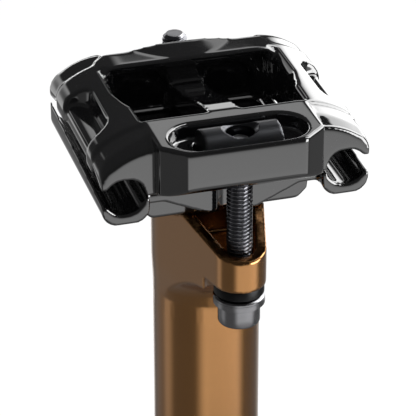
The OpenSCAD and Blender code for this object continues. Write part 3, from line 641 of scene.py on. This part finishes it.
@dataclass
class UpperTube(SubAssembly):
    """The sliding gold tube with its forged head, and the keys on its foot."""

    rail_z: float = 193.3
    head_cut: float = 47.0
    plain_mm: float = 8.0
    tube_r: float = 11.1
    bore_r: float = 9.6
    voxel_mm: float = 0.3
    passes: int = 8
    head_r: float = 11.38
    head_low: float = 34.3
    run_mm: float = 9.0
    web_mm: float = 4.0
    near_mm: float = 0.2

    def run_out(self, points: np.ndarray) -> None:
        """Leads the head's wall into the tube without a step.

        With s a smooth step of the height above the head's lower end over run_mm and w a smooth step of
        the distance outside the head's round wall over web_mm, a point at radius r moves in by
        (head_r - tube_r) (1 - s) (1 - w), but not past the tube's wall. The bore's points stay.

        Args:
            points: places in millimetres, which change.
        """
        r = np.hypot(points[:, 0], points[:, 1])
        low = self.rail_z - self.head_low
        s = smooth_step((points[:, 2] - low + 0.3) / self.run_mm)
        w = smooth_step((r - self.head_r) / self.web_mm)
        on = (r > (self.tube_r + self.bore_r) / 2) & (points[:, 2] > low - 0.5)
        back = (self.head_r - self.tube_r) * (1 - s) * (1 - w) * on
        back = np.where(r - back < self.tube_r, np.maximum(r - self.tube_r, 0) * on, back)
        pressed_in(points, back)

    def draw_round(self, points: np.ndarray) -> None:
        """Draws the lower end's points on to the tube's two round walls.

        A point at radius r moves to r + w (R - r), with R the nearer wall's radius. The weight w falls
        smoothly from 1 below the plain end's top to 0 two millimetres above it, and is 0 for points more
        than near_mm off the wall.

        Args:
            points: places in millimetres, which change.
        """
        r = np.hypot(points[:, 0], points[:, 1])
        near = np.where(r > (self.tube_r + self.bore_r) / 2, self.tube_r, self.bore_r)
        plain_top = self.rail_z - self.head_cut + self.plain_mm
        w = smooth_step((plain_top + 2 - points[:, 2]) / 2) * (np.abs(r - near) < self.near_mm)
        pressed_in(points, w * (r - near))

    def head(self) -> None:
        """Rounds the forged head's machined edges, above the cut where the plain tube starts."""
        head = softened("upper_post", "forged_head", self.voxel_mm, self.passes,
            self.rail_z - self.head_cut, self.run_out)
        moved(head.data, self.draw_round)
        self.dress(head, "upper", GOLD_ANODISED, "gold_anodised", "upper_post")

    def tube(self) -> None:
        """Turns the plain tube below the head, with a small chamfer at its foot."""
        foot, top = level("upper_post", 0), self.rail_z - self.head_cut
        profile = np.array([[self.tube_r, top], [self.tube_r, top - 2], [self.tube_r, foot + 0.6],
            [self.tube_r - 0.5, foot], [self.bore_r + 0.3, foot], [self.bore_r, foot + 0.4],
            [self.bore_r, top - 2], [self.bore_r, top]])
        self.dress(skin("sliding_tube", turned(profile, 160)), "upper", GOLD_ANODISED, "gold_anodised")

    def build(self) -> None:
        """Makes the head, the tube and the small pieces that ride in its foot."""
        self.head()
        self.tube()
        self.keep(TURNED_BRASS, "guide_keys")


@dataclass
class RailClamp(SubAssembly):
    """The two clamp halves that grip the saddle rails, and the barrel nuts in the upper one."""

    voxel_mm: float = 0.33
    passes: int = 12
    rim_y: tuple = (-12.6, -5.5, -2.5, 1.8, 12.4)
    rim_out: tuple = (17.1, 17.3, 18.3, 19.1, 19.1)
    rim_in: tuple = (16.5, 16.6, 17.2, 17.9, 17.9)
    rim_deep: tuple = (0.5, 0.6, 1.0, 1.3, 1.3)
    rim_end: float = 12.9
    rim_reach: tuple = (0.8, 0.6, 0.4)
    nut_voxel_mm: float = 0.2
    nut_passes: int = 5
    wall_near: float = 0.15
    end_edge: float = 0.4
    bore_r: float = 2.65
    bore_near: float = 0.25
    bore_ease: float = 0.25
    countersink: float = 1.4
    tree: BVHTree | None = None

    def plane_rim(self, points: np.ndarray) -> None:
        """Planes a bevel along the window's two long edges.

        At each y the bevel is the line from I, on the window's wall, up to O, on the shell's top. A point
        P near it that lies a distance h = (P - I) . n beyond it, with n the line's normal away from the
        metal, moves back by h n. Near is within rim_reach of the wall, of the shell's top and of I's
        height. The line's ends and depth run along y through the values of the rim_ fields.

        Args:
            points: places in millimetres, which change.
        """
        x, y, z = np.abs(points[:, 0]), points[:, 1], points[:, 2]
        out, wall = np.interp(y, self.rim_y, self.rim_out), np.interp(y, self.rim_y, self.rim_in)
        tops = np.array([self.top_at(o, at) for o, at in zip(self.rim_out, self.rim_y)])
        crest = np.interp(y, self.rim_y, tops)
        low = crest - np.interp(y, self.rim_y, self.rim_deep)
        line = np.stack([out - wall, crest - low], 1)
        line /= np.linalg.norm(line, axis=1, keepdims=True)
        normal = np.stack([-line[:, 1], line[:, 0]], 1)
        beyond = (x - wall) * normal[:, 0] + (z - low) * normal[:, 1]
        near = (x > wall - self.rim_reach[0]) & (x < out + self.rim_reach[1])
        near &= (z > low - self.rim_reach[2]) & (y > self.rim_y[0]) & (y < self.rim_end)
        back = np.where(near & (beyond > 0), beyond, 0)
        points[:, 0] -= np.sign(points[:, 0]) * back * normal[:, 0]
        points[:, 2] -= back * normal[:, 1]

    def top_at(self, x: float, y: float) -> float:
        """Height of the upper clamp's top at a place, found by a ray from above."""
        hit = self.tree.ray_cast(Vector((x * MM, y * MM, 1)), Vector((0, 0, -1)))
        return hit[0].z / MM

    def nut(self, end: str) -> Piece:
        """Rounds a barrel nut's edges and trues its round wall.

        A point whose distance r from the nut's axis is within wall_near of the wall's radius R moves to
        R, and one whose distance d from the bolt's axis is within bore_near of the bore's radius moves
        out to bore_r + bore_ease. Both are done before the edges are smoothed and after.

        Args:
            end: "front" or "rear".

        Returns:
            The new piece.
        """
        node = f"{end}_barrel_nut"
        low, high = (np.array(corner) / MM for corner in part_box(node))
        middle, wall = (low + high) / 2, (high[1] - low[1]) / 2

        def true_up(points: np.ndarray) -> None:
            """Moves the wall's and the bore's points on to their cylinders.

            Args:
                points: places in millimetres, which change.
            """
            off = points[:, 1:] - middle[1:]
            r = np.hypot(off[:, 0], off[:, 1])
            on_wall = np.abs(r - wall) < self.wall_near
            on_wall &= np.abs(points[:, 0]) < high[0] - self.end_edge
            pull = np.where(on_wall, wall / np.maximum(r, 0.1), 1.0)
            points[:, 1:] = middle[1:] + off * pull[:, None]
            across = points[:, :2] - middle[:2]
            d = np.hypot(across[:, 0], across[:, 1])
            in_bore = np.abs(d - self.bore_r) < self.bore_near
            in_bore &= points[:, 2] - middle[2] < wall - self.countersink
            push = np.where(in_bore, (self.bore_r + self.bore_ease) / np.maximum(d, 0.1), 1.0)
            points[:, :2] = middle[:2] + across * push[:, None]

        made = softened(node, f"{end}_cross_nut", self.nut_voxel_mm, self.nut_passes, rule=true_up)
        moved(made.data, true_up)
        return made

    def build(self) -> None:
        """Polishes the two forgings and rounds the turned nuts."""
        work = cad_copy("upper_clamp")
        self.tree = BVHTree.FromBMesh(work)
        work.free()
        upper = softened("upper_clamp", "upper_clamp_forging", self.voxel_mm, self.passes,
            rule=self.plane_rim)
        self.dress(upper, "clamp", BLACK_FORGING, "gloss_black", "upper_clamp")
        lower = softened("lower_cradle", "cradle_forging", self.voxel_mm, self.passes)
        self.dress(lower, "clamp", BLACK_FORGING, "gloss_black", "lower_cradle")
        for end in ("front", "rear"):
            self.dress(self.nut(end), f"{end}_nut", DARK_STEEL, "dark_steel", f"{end}_barrel_nut")


@dataclass
class ClampBolt(SubAssembly):
    """One long clamp bolt with its socket head, cut thread and two washers."""

    end: str = "front"
    y: float = -22.9
    shank_r: float = 2.4
    head_r: float = 4.25
    head_h: float = 4.4
    socket_flat: float = 2.0
    socket_deep: float = 2.8
    pitch: float = 0.85
    stations: int = 11
    flank: float = 0.36
    root_flat: float = 0.18
    plain_h: float = 4.3
    fade_h: float = 1.2
    crest_r: float = 2.58
    root_r: float = 2.08
    ball_r: float = 9.0
    seat_t: float = 2.0
    dome_h: float = 0.9
    play: float = 0.05
    washer_r: float = 5.2
    wall_top: float = 1.7
    groove_low: float = 1.28
    groove_high: float = 1.44
    groove_deep: float = 0.09
    cup_r: float = 5.05
    cup_gap: float = 0.45
    end_step: float = 0.15
    tip_deep: float = 0.75
    tip_h: float = 0.8
    tip_slope: float = 0.95
    sides: int = 72

    def turn_part(self, part: str, profile: np.ndarray, sides: int, loop: bool) -> Piece:
        """Turns a profile about the bolt's axis."""
        rings = turned(profile, sides) + np.array([0, self.y, 0])
        return skin(f"{self.end}_{part}", rings, loop)

    def socket_head(self) -> None:
        """Makes the cap head with its hexagon socket as one run of rings.

        A ring's radius at angle a is (1 - h) r + h f / cos(((a + 30) mod 60) - 30), where f is half the
        hexagon's width over flats and h is 1 inside the socket and 0 outside it.
        """
        low = level(f"{self.end}_bolt", 0)
        top = low + self.head_h
        r, f = self.head_r, self.socket_flat
        floor = low + self.socket_deep
        rows = np.array([[self.shank_r - 0.1, top - 0.01, 0], [r - 0.15, top, 0], [r, top - 0.15, 0],
            [r, (top + low) / 2, 0], [r, low + 0.5, 0], [r - 0.07, low + 0.27, 0],
            [r - 0.2, low + 0.1, 0], [r - 0.4, low, 0], [f + 0.62, low, 0], [f + 0.12, low + 0.02, 1],
            [f, low + 0.18, 1], [f, floor, 1], [f * 0.5, floor + 0.35, 0.6], [0, floor + 0.6, 0]])
        sides = self.sides * 2
        angle = np.arange(sides) * 2 * np.pi / sides
        spread = np.cos(np.mod(angle + np.pi / 6, np.pi / 3) - np.pi / 6)
        radius = rows[:, :1] * (1 - rows[:, 2:]) + rows[:, 2:] * rows[:, :1] / spread
        rings = ring_points(radius, rows[:, 1:2], sides) + np.array([0, self.y, 0])
        plug = np.zeros_like(rings[:1]) + np.array([0, self.y, top - 0.01])
        self.dress(skin(f"{self.end}_bolt_head", np.concatenate([plug, rings])), f"{self.end}_bolt_set",
            BRUSHED_STEEL, "brushed_steel", f"{self.end}_bolt")

    def thread(self) -> None:
        """Cuts the thread into the shank.

        The radius at height z and angle a is root + (crest - root) w, where w is a wave of
        z / pitch - a / 360 that is 0 for an eighth of a turn and 1 for a seventh of it, with smooth steps
        between. It fades in above the washers, and a chamfer cuts it at the tip.
        """
        low = level(f"{self.end}_bolt", 0) + self.head_h - 0.02
        tip = level(f"{self.end}_bolt", 1) - self.end_step
        z = np.linspace(low, tip, int((tip - low) / self.pitch * self.stations))[:, None]
        angle = (np.arange(self.sides) * 2 * np.pi / self.sides)[None, :]
        turn = np.mod(z / self.pitch - angle / (2 * np.pi), 1.0)
        wave = smooth_step((0.5 - np.abs(turn - 0.5)) / self.flank - self.root_flat)
        cut = self.root_r + (self.crest_r - self.root_r) * wave
        fade = np.clip((z - (low + self.plain_h)) / self.fade_h, 0, 1)
        radius = self.shank_r * (1 - fade) + cut * fade
        tip_r = self.crest_r - self.tip_deep
        radius = np.minimum(radius, tip_r + np.clip(tip - z, 0, self.tip_h) * self.tip_slope)
        rings = ring_points(radius, z, self.sides) + np.array([0, self.y, 0])
        foot, end = (np.zeros_like(rings[:1]) + np.array([0, self.y, h]) for h in (low, tip))
        rings = np.concatenate([foot, rings, end])
        self.dress(skin(f"{self.end}_bolt_thread", rings), f"{self.end}_bolt_set", THREAD_STEEL,
            "brushed_steel")

    def bright_end(self) -> None:
        """Turns the bolt's faced end, a small chamfered disc that stands just out of the thread."""
        top, r = level(f"{self.end}_bolt", 1), self.crest_r - self.tip_deep
        profile = np.array([[0, top - 0.6], [r - 0.3, top - 0.6], [r - 0.02, top - 0.4],
            [r - 0.02, top - 0.1], [r - 0.12, top], [0, top]])
        self.dress(self.turn_part("bolt_end", profile, 96, False), f"{self.end}_bolt_set", BRIGHT_END,
            "brushed_steel")

    def washers(self) -> None:
        """Turns the ball-topped washer and the cupped washer above it.

        Both spherical faces follow z = c + sqrt(R^2 - r^2) about the ball's centre c.
        """
        low, seat_top = level(f"{self.end}_flange_washer", 0), level(f"{self.end}_seat_washer", 1)
        under = seat_top - self.seat_t
        centre = under + self.dome_h - self.ball_r
        hole, wall, deep = self.shank_r + self.play, self.washer_r, self.groove_deep
        r = np.linspace(wall - 0.15, hole, 14)
        dome = np.stack([r, centre + np.sqrt(self.ball_r ** 2 - r ** 2)], 1)
        body = np.array([[hole, 0.1], [hole + 0.15, 0], [wall - 0.3, 0], [wall - 0.08, 0.08],
            [wall, 0.16], [wall, self.groove_low], [wall - deep, self.groove_low + 0.04],
            [wall - deep, self.groove_high - 0.04], [wall, self.groove_high],
            [wall, self.wall_top]]) + np.array([0, low])
        ball = self.turn_part("ball_washer", np.concatenate([body, dome]), 128, True)
        self.dress(ball, f"{self.end}_bolt_set", BRUSHED_STEEL, "brushed_steel",
            f"{self.end}_flange_washer")
        socket, hole, wall = self.ball_r + self.play, self.shank_r + self.cup_gap, self.cup_r
        r = np.linspace(hole, math.sqrt(socket ** 2 - (under - centre) ** 2), 12)
        dish = np.stack([r, centre + np.sqrt(socket ** 2 - r ** 2)], 1)
        rim = np.array([[wall - 0.1, under], [wall, under + 0.1], [wall, seat_top - 0.2],
            [wall - 0.06, seat_top - 0.06], [wall - 0.2, seat_top], [hole, seat_top]])
        cup = self.turn_part("cup_washer", np.concatenate([dish, rim]), 128, True)
        self.dress(cup, "upper", BLACK_OXIDE, "black_steel", f"{self.end}_seat_washer")

    def build(self) -> None:
        """Makes the head, the thread, its bright end and the two washers."""
        self.socket_head()
        self.thread()
        self.bright_end()
        self.washers()


@dataclass
class Actuator(SubAssembly):
    """The cable lever and its housing at the post's lower end."""

    bevel_mm: float = 0.3
    wire_r: float = 0.35
    wire_sides: int = 14
    turns: int = 6
    turn_steps: int = 40
    lift_mm: float = 0.754
    stop_bore: float = 2.6
    stop_hole: float = 1.2
    stop_grip: float = 0.9
    ridges: int = 36
    ridge_deep: float = 0.22

    def spring(self) -> None:
        """Winds the return spring.

        The wire's middle runs at (R cos a, R sin a, z) with a = 2 pi n t and z rising evenly with t, and
        its section is a circle in the plane that holds the spring's axis.
        """
        low, high = level("return_spring", 0) + self.wire_r, level("return_spring", 1) - self.wire_r
        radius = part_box("return_spring")[1].x / MM - self.wire_r
        t = np.linspace(0, 1, self.turns * self.turn_steps + 1)[:, None]
        a = np.arange(self.wire_sides)[None, :] * 2 * np.pi / self.wire_sides
        turn = 2 * np.pi * self.turns * t
        shrink = np.where((t > 0) & (t < 1), 1.0, 0.0)
        out = radius + shrink * self.wire_r * np.cos(a)
        rings = np.stack([out * np.cos(turn), out * np.sin(turn),
            low + (high - low) * t + shrink * self.wire_r * np.sin(a)], -1)
        rings = np.concatenate([rings[:1], self.cap(rings[0], rings[1])[None], rings[1:-1],
            self.cap(rings[-1], rings[-2])[None], rings[-1:]])
        piece = self.dress(skin("return_spring_coil", rings), "lower", SPRING_WIRE, "spring_steel",
            "return_spring")
        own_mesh(piece)

    @staticmethod
    def cap(end: np.ndarray, first: np.ndarray) -> np.ndarray:
        """Moves a ring of the wire's section on to the wire's flat cut end."""
        return first + end.mean(0) - first.mean(0)

    def stop(self) -> None:
        """Turns the cable stop, whose flange has a ridged grip.

        The flange's radius at angle a is R - d (0.5 + 0.5 cos(n a)) over its height only.
        """
        low, high = (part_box("cable_stop")[k] / MM for k in (0, 1))
        y, flange = (low.y + high.y) / 2, (high.x - low.x) / 2
        body, bore, hole, z = flange - self.stop_grip, self.stop_bore, self.stop_hole, low.z
        outer = np.array([[bore, z + 0.2], [bore + 0.2, z], [body - 0.15, z], [body, z + 0.15],
            [body, z + 2], [flange - 0.2, z + 2], [flange, z + 2.2], [flange, z + 5.75],
            [flange - 0.2, z + 5.95], [body, z + 5.95], [body, high.z - 0.3], [body - 0.3, high.z],
            [hole + 0.15, high.z], [hole, high.z - 0.15], [hole, z + 8.05], [bore, z + 7.95]])
        rings = turned(outer, self.ridges * 8)
        angle = np.arctan2(rings[..., 1], rings[..., 0])
        grip = ((outer[:, 0] > flange - 0.05) * self.ridge_deep)[:, None]
        pressed_in(rings, grip * (0.5 + 0.5 * np.cos(self.ridges * angle)))
        rings[..., 1] += y
        self.dress(skin("cable_stop_turned", rings, loop=True), "lower", SILVER_ALLOY, "silver_alloy",
            "cable_stop")

    def build(self) -> None:
        """Bevels the machined parts, winds the spring and dresses the small ones."""
        housing = bevelled("actuator_housing", "cable_lever_housing", self.bevel_mm)
        self.dress(housing, "lower", BLACK_MACHINED, "dark_alloy", "actuator_housing")
        lever = bevelled("actuator_lever", "cable_lever", self.bevel_mm)
        self.dress(lever, "lever", SILVER_ALLOY, "silver_alloy", "actuator_lever")
        self.keep(BRUSHED_STEEL, "housing_bolts")
        self.keep(GROUND_STEEL, "lever_pivot_pin", "valve_rod")
        self.keep(TURNED_BRASS, "cable_barrel")
        self.keep(BLACK_OXIDE, "barrel_grub_screw")
        self.stop()
        self.spring()


@dataclass
class Cartridge(SubAssembly):
    """The sealed cartridge inside the tubes."""

    def build(self) -> None:
        """Gives each hidden piece its own finish."""
        self.keep(HARD_CHROME, "piston_rod")
        self.keep(TURNED_BRASS, "piston", "floating_piston")
        self.keep(SEAL_RUBBER, "piston_seal", "floating_seal", "rod_seal")
        self.keep(SILVER_ALLOY, "cartridge_body")
        self.keep(BLUE_ALLOY, "cartridge_cap", "rod_gland")


@dataclass(frozen=True)
class Lamp:
    """One soft box: where it stands seen from the post's head, its size and its brightness."""

    name: str
    azimuth: float
    elevation: float
    distance: float
    width: float
    height: float
    radiance: float


@dataclass(frozen=True)
class Panel:
    """One part of the light tent that mirrors see: a soft-edged field of directions from the head.

    Azimuth 0 is -Y and 90 is +X. The field reaches half_az and half_el degrees to each side of its
    middle. Its edges run over soft degrees to each side of that, upwards and downwards over soft_el.
    """

    azimuth: float
    half_az: float
    elevation: float
    half_el: float
    radiance: float
    soft: float
    soft_el: float


@dataclass
class Studio:
    """Floor, round backdrop, lamps, the tent that mirrors see, and the photograph's camera."""

    target: Vector = field(default_factory=lambda: Vector((0, 0, 0.1933)))
    camera_at: tuple = (-0.12807, -0.43154, 0.42520)
    azimuth: float = -16.58
    elevation: float = 28.95
    lens_mm: float = 217.7
    floor_r: float = 4.5
    wall_h: float = 2.2
    tent_r: float = 0.62
    tent_top: float = 1.1
    dim_above: float = 0.045
    dim_below: float = 0.15
    dim_from: float = -6.0
    dim_to: float = -22.0
    bend_r: float = 1.2
    floor_glow: float = 1.06
    glow_share: float = 0.8
    room_light: float = 0.35
    lamps: tuple = (
        Lamp("key_box", 95, 40, 1.6, 0.9, 1.2, 6.0),
        Lamp("top_box", 190, 75, 1.6, 0.8, 0.8, 5.0),
        Lamp("left_box", -70, 25, 1.8, 0.6, 1.2, 4.0),
        Lamp("front_box", 20, 20, 1.8, 0.6, 1.0, 3.0),
    )
    panels: tuple = (
        Panel(17, 46, -32, 10, 0.98, 13, 6),
        Panel(20, 30, -52, 12, 0.35, 6, 6),
        Panel(46, 17, -3, 17, 6.0, 2, 2),
        Panel(98, 20, 39, 27, 4.7, 2, 2),
        Panel(134, 16, 15, 30, 2.7, 2, 2),
        Panel(160, 11, 31.5, 5, 0.74, 3, 1),
        Panel(165, 7, 7, 6, 1.1, 2, 2),
        Panel(-176, 12, 6, 4, 2.6, 2, 2),
        Panel(-157, 7, -3, 19, 0.75, 2, 2),
        Panel(152, 20, -28, 12, 0.5, 14, 5),
        Panel(170, 16, -28, 12, 1.1, 11, 5),
        Panel(-138, 14, -29, 10, 0.22, 6, 5),
        Panel(-108, 11, -30, 10, 0.52, 9, 5),
    )

    def aim(self, azimuth: float, elevation: float) -> Vector:
        """Unit vector from the head towards an azimuth (0 is -Y, 90 is +X) and elevation in degrees."""
        a, e = math.radians(azimuth), math.radians(elevation)
        return Vector((math.sin(a) * math.cos(e), -math.cos(a) * math.cos(e), math.sin(e)))

    def light(self, lamp: Lamp) -> None:
        """Makes one area lamp whose face has its stated radiance. Mirrors see the tent instead of it.

        Args:
            lamp: its place, size and brightness.
        """
        data = bpy.data.lights.new(lamp.name, "AREA")
        data.shape, data.size, data.size_y = "RECTANGLE", lamp.width, lamp.height
        data.energy = lamp.radiance * math.pi * lamp.width * lamp.height
        made = linked(lamp.name, data)
        out = self.aim(lamp.azimuth, lamp.elevation)
        made.location = self.target + out * lamp.distance
        made.rotation_euler = out.to_track_quat("Z", "Y").to_euler()
        made.visible_camera = made.visible_glossy = False
        log.info("lit %s", lamp.name)

    def tent_paint(self) -> bpy.types.Material:
        """Paints the tent: dim cloth with its bright panels.

        With d the direction from the head, the azimuth is atan2(d.x, -d.y) and the elevation asin(d.z).
        A panel's weight is the product of two smooth steps, one of |azimuth - its own| and one of
        |elevation - its own|, and each panel is laid over those before it.

        Returns:
            The material.
        """
        material, tree = blank_material("light_tent_cloth")
        material.cycles.emission_sampling = "NONE"

        def math_node(operation: str, *values: bpy.types.NodeSocket | float) -> bpy.types.NodeSocket:
            """Adds a math node and returns its result."""
            return add_node(tree, "Math", {"operation": operation}, dict(enumerate(values))).outputs[0]

        def fade(value: bpy.types.NodeSocket, start: float, end: float) -> bpy.types.NodeSocket:
            """A smooth step that is 0 at start and 1 at end."""
            return add_node(tree, "MapRange", {"interpolation_type": "SMOOTHSTEP"},
                {"Value": value, "From Min": start, "From Max": end}).outputs[0]

        place = add_node(tree, "TexCoord").outputs["Object"]
        place = add_node(tree, "VectorMath", {"operation": "SUBTRACT"},
            {0: place, 1: tuple(self.target)}).outputs[0]
        place = add_node(tree, "VectorMath", {"operation": "NORMALIZE"}, {0: place}).outputs[0]
        split = add_node(tree, "SeparateXYZ", inputs={0: place})
        azimuth = math_node("DEGREES", math_node("ARCTAN2", split.outputs[0],
            math_node("MULTIPLY", split.outputs[1], -1.0)))
        elevation = math_node("DEGREES", math_node("ARCSINE", split.outputs[2]))
        total = math_node("MULTIPLY_ADD", fade(elevation, self.dim_from, self.dim_to),
            self.dim_below - self.dim_above, self.dim_above)
        for panel in self.panels:
            off = math_node("SUBTRACT", azimuth, panel.azimuth)
            off = math_node("ABSOLUTE", math_node("WRAP", off, 180.0, -180.0))
            rise = math_node("ABSOLUTE", math_node("SUBTRACT", elevation, panel.elevation))
            across = fade(off, panel.half_az + panel.soft, panel.half_az - panel.soft)
            along = fade(rise, panel.half_el + panel.soft_el, panel.half_el - panel.soft_el)
            weight = math_node("MULTIPLY", across, along)
            more = math_node("MULTIPLY", weight, math_node("SUBTRACT", panel.radiance, total))
            total = math_node("ADD", total, more)
        glow = add_node(tree, "Emission", inputs={"Strength": total})
        add_node(tree, "OutputMaterial", inputs={"Surface": glow})
        return material

    def tent(self) -> None:
        """Makes the round tent, which stands on the floor and which only mirrors see."""
        low = (CAD_BOX[0].z - 0.003) / MM
        r, top = self.tent_r / MM, self.tent_top / MM
        bend = np.linspace(0, np.pi / 2, 9)
        dome = np.stack([r * np.cos(bend), top + 0.4 * r * np.sin(bend)], 1)
        dome[-1, 0] = 0
        profile = np.concatenate([[[0, low], [r, low]], dome])
        tent = skin("light_tent", turned(profile, 96))
        tent.data.materials.append(self.tent_paint())
        tent.visible_camera = tent.visible_diffuse = tent.visible_shadow = False
        tent.visible_transmission = tent.visible_volume_scatter = False

    def ground(self) -> None:
        """Makes the pale floor, which curves up into a round backdrop.

        The profile runs out along the floor, turns up on a quarter circle and ends at the wall's top.
        """
        low = CAD_BOX[0].z - 0.004
        bend, t = self.bend_r, np.linspace(0, np.pi / 2, 16)
        flat = np.stack([np.linspace(0, self.floor_r - bend, 12), np.full(12, low)], 1)
        turn = np.stack([self.floor_r - bend + bend * np.sin(t), low + bend - bend * np.cos(t)], 1)
        profile = np.concatenate([flat, turn[1:], [[self.floor_r, low + self.wall_h]]]) / MM
        floor = skin("pale_floor", turned(profile, 96))
        material, tree = blank_material("pale_paper_sweep")
        place = add_node(tree, "TexCoord").outputs["Object"]
        grain = add_node(tree, "TexNoise", inputs={"Vector": place, "Scale": 60.0})
        paper = add_node(tree, "Mix", {"data_type": "RGBA"}, {0: grain, 6: linear("fafafa"),
            7: linear("f6f6f6")})
        matt = add_node(tree, "BsdfDiffuse", inputs={"Color": paper.outputs[2]})
        ray = add_node(tree, "LightPath")
        seen = ray.outputs["Is Camera Ray"]
        for kind in ("Is Glossy Ray", "Is Transmission Ray"):
            seen = add_node(tree, "Math", {"operation": "MAXIMUM"}, {0: seen, 1: ray.outputs[kind]})
        seen = add_node(tree, "Math", {"operation": "MULTIPLY"}, {0: seen, 1: self.floor_glow})
        glow = add_node(tree, "Emission", inputs={"Strength": seen})
        both = add_node(tree, "MixShader", inputs={0: self.glow_share, 1: matt, 2: glow})
        add_node(tree, "OutputMaterial", inputs={"Surface": both})
        floor.data.materials.append(material)

    def world(self) -> None:
        """Sets a dim even room above the backdrop."""
        world = bpy.data.worlds.new("room")
        world.use_nodes = True
        back = world.node_tree.nodes["Background"]
        back.inputs["Color"].default_value = linear("ffffff")
        back.inputs["Strength"].default_value = self.room_light
        bpy.context.scene.world = world

    def camera(self) -> None:
        """Places the photograph's camera."""
        data = bpy.data.cameras.new("photo_camera")
        data.lens, data.sensor_width, data.sensor_fit = self.lens_mm, 36.0, "HORIZONTAL"
        data.clip_end = 50
        made = linked("photo_camera", data)
        back = self.aim(self.azimuth, self.elevation)
        side = Vector((0, 0, 1)).cross(back).normalized()
        turn = Matrix((side, back.cross(side), back)).transposed().to_4x4()
        turn.translation = Vector(self.camera_at)
        made.matrix_world = turn
        bpy.context.scene.camera = made

    def build(self) -> None:
        """Makes the whole studio."""
        self.camera()
        self.ground()
        self.world()
        self.tent()
        for lamp in self.lamps:
            self.light(lamp)
        bpy.context.scene.view_settings.view_transform = "Standard"


def main() -> None:
    """Builds the studio and every sub-assembly, and reports each piece."""
    logging.basicConfig(level=logging.INFO, format="%(message)s")
    Studio().build()
    groups = [LowerTube(), UpperTube(), RailClamp(), ClampBolt(end="front", y=-22.9),
        ClampBolt(end="rear", y=22.9), Actuator(), Cartridge()]
    for group in groups:
        group.build()
        log.info("%s has %d pieces", type(group).__name__, len(group.made))


if __name__ == "__main__":
    main()
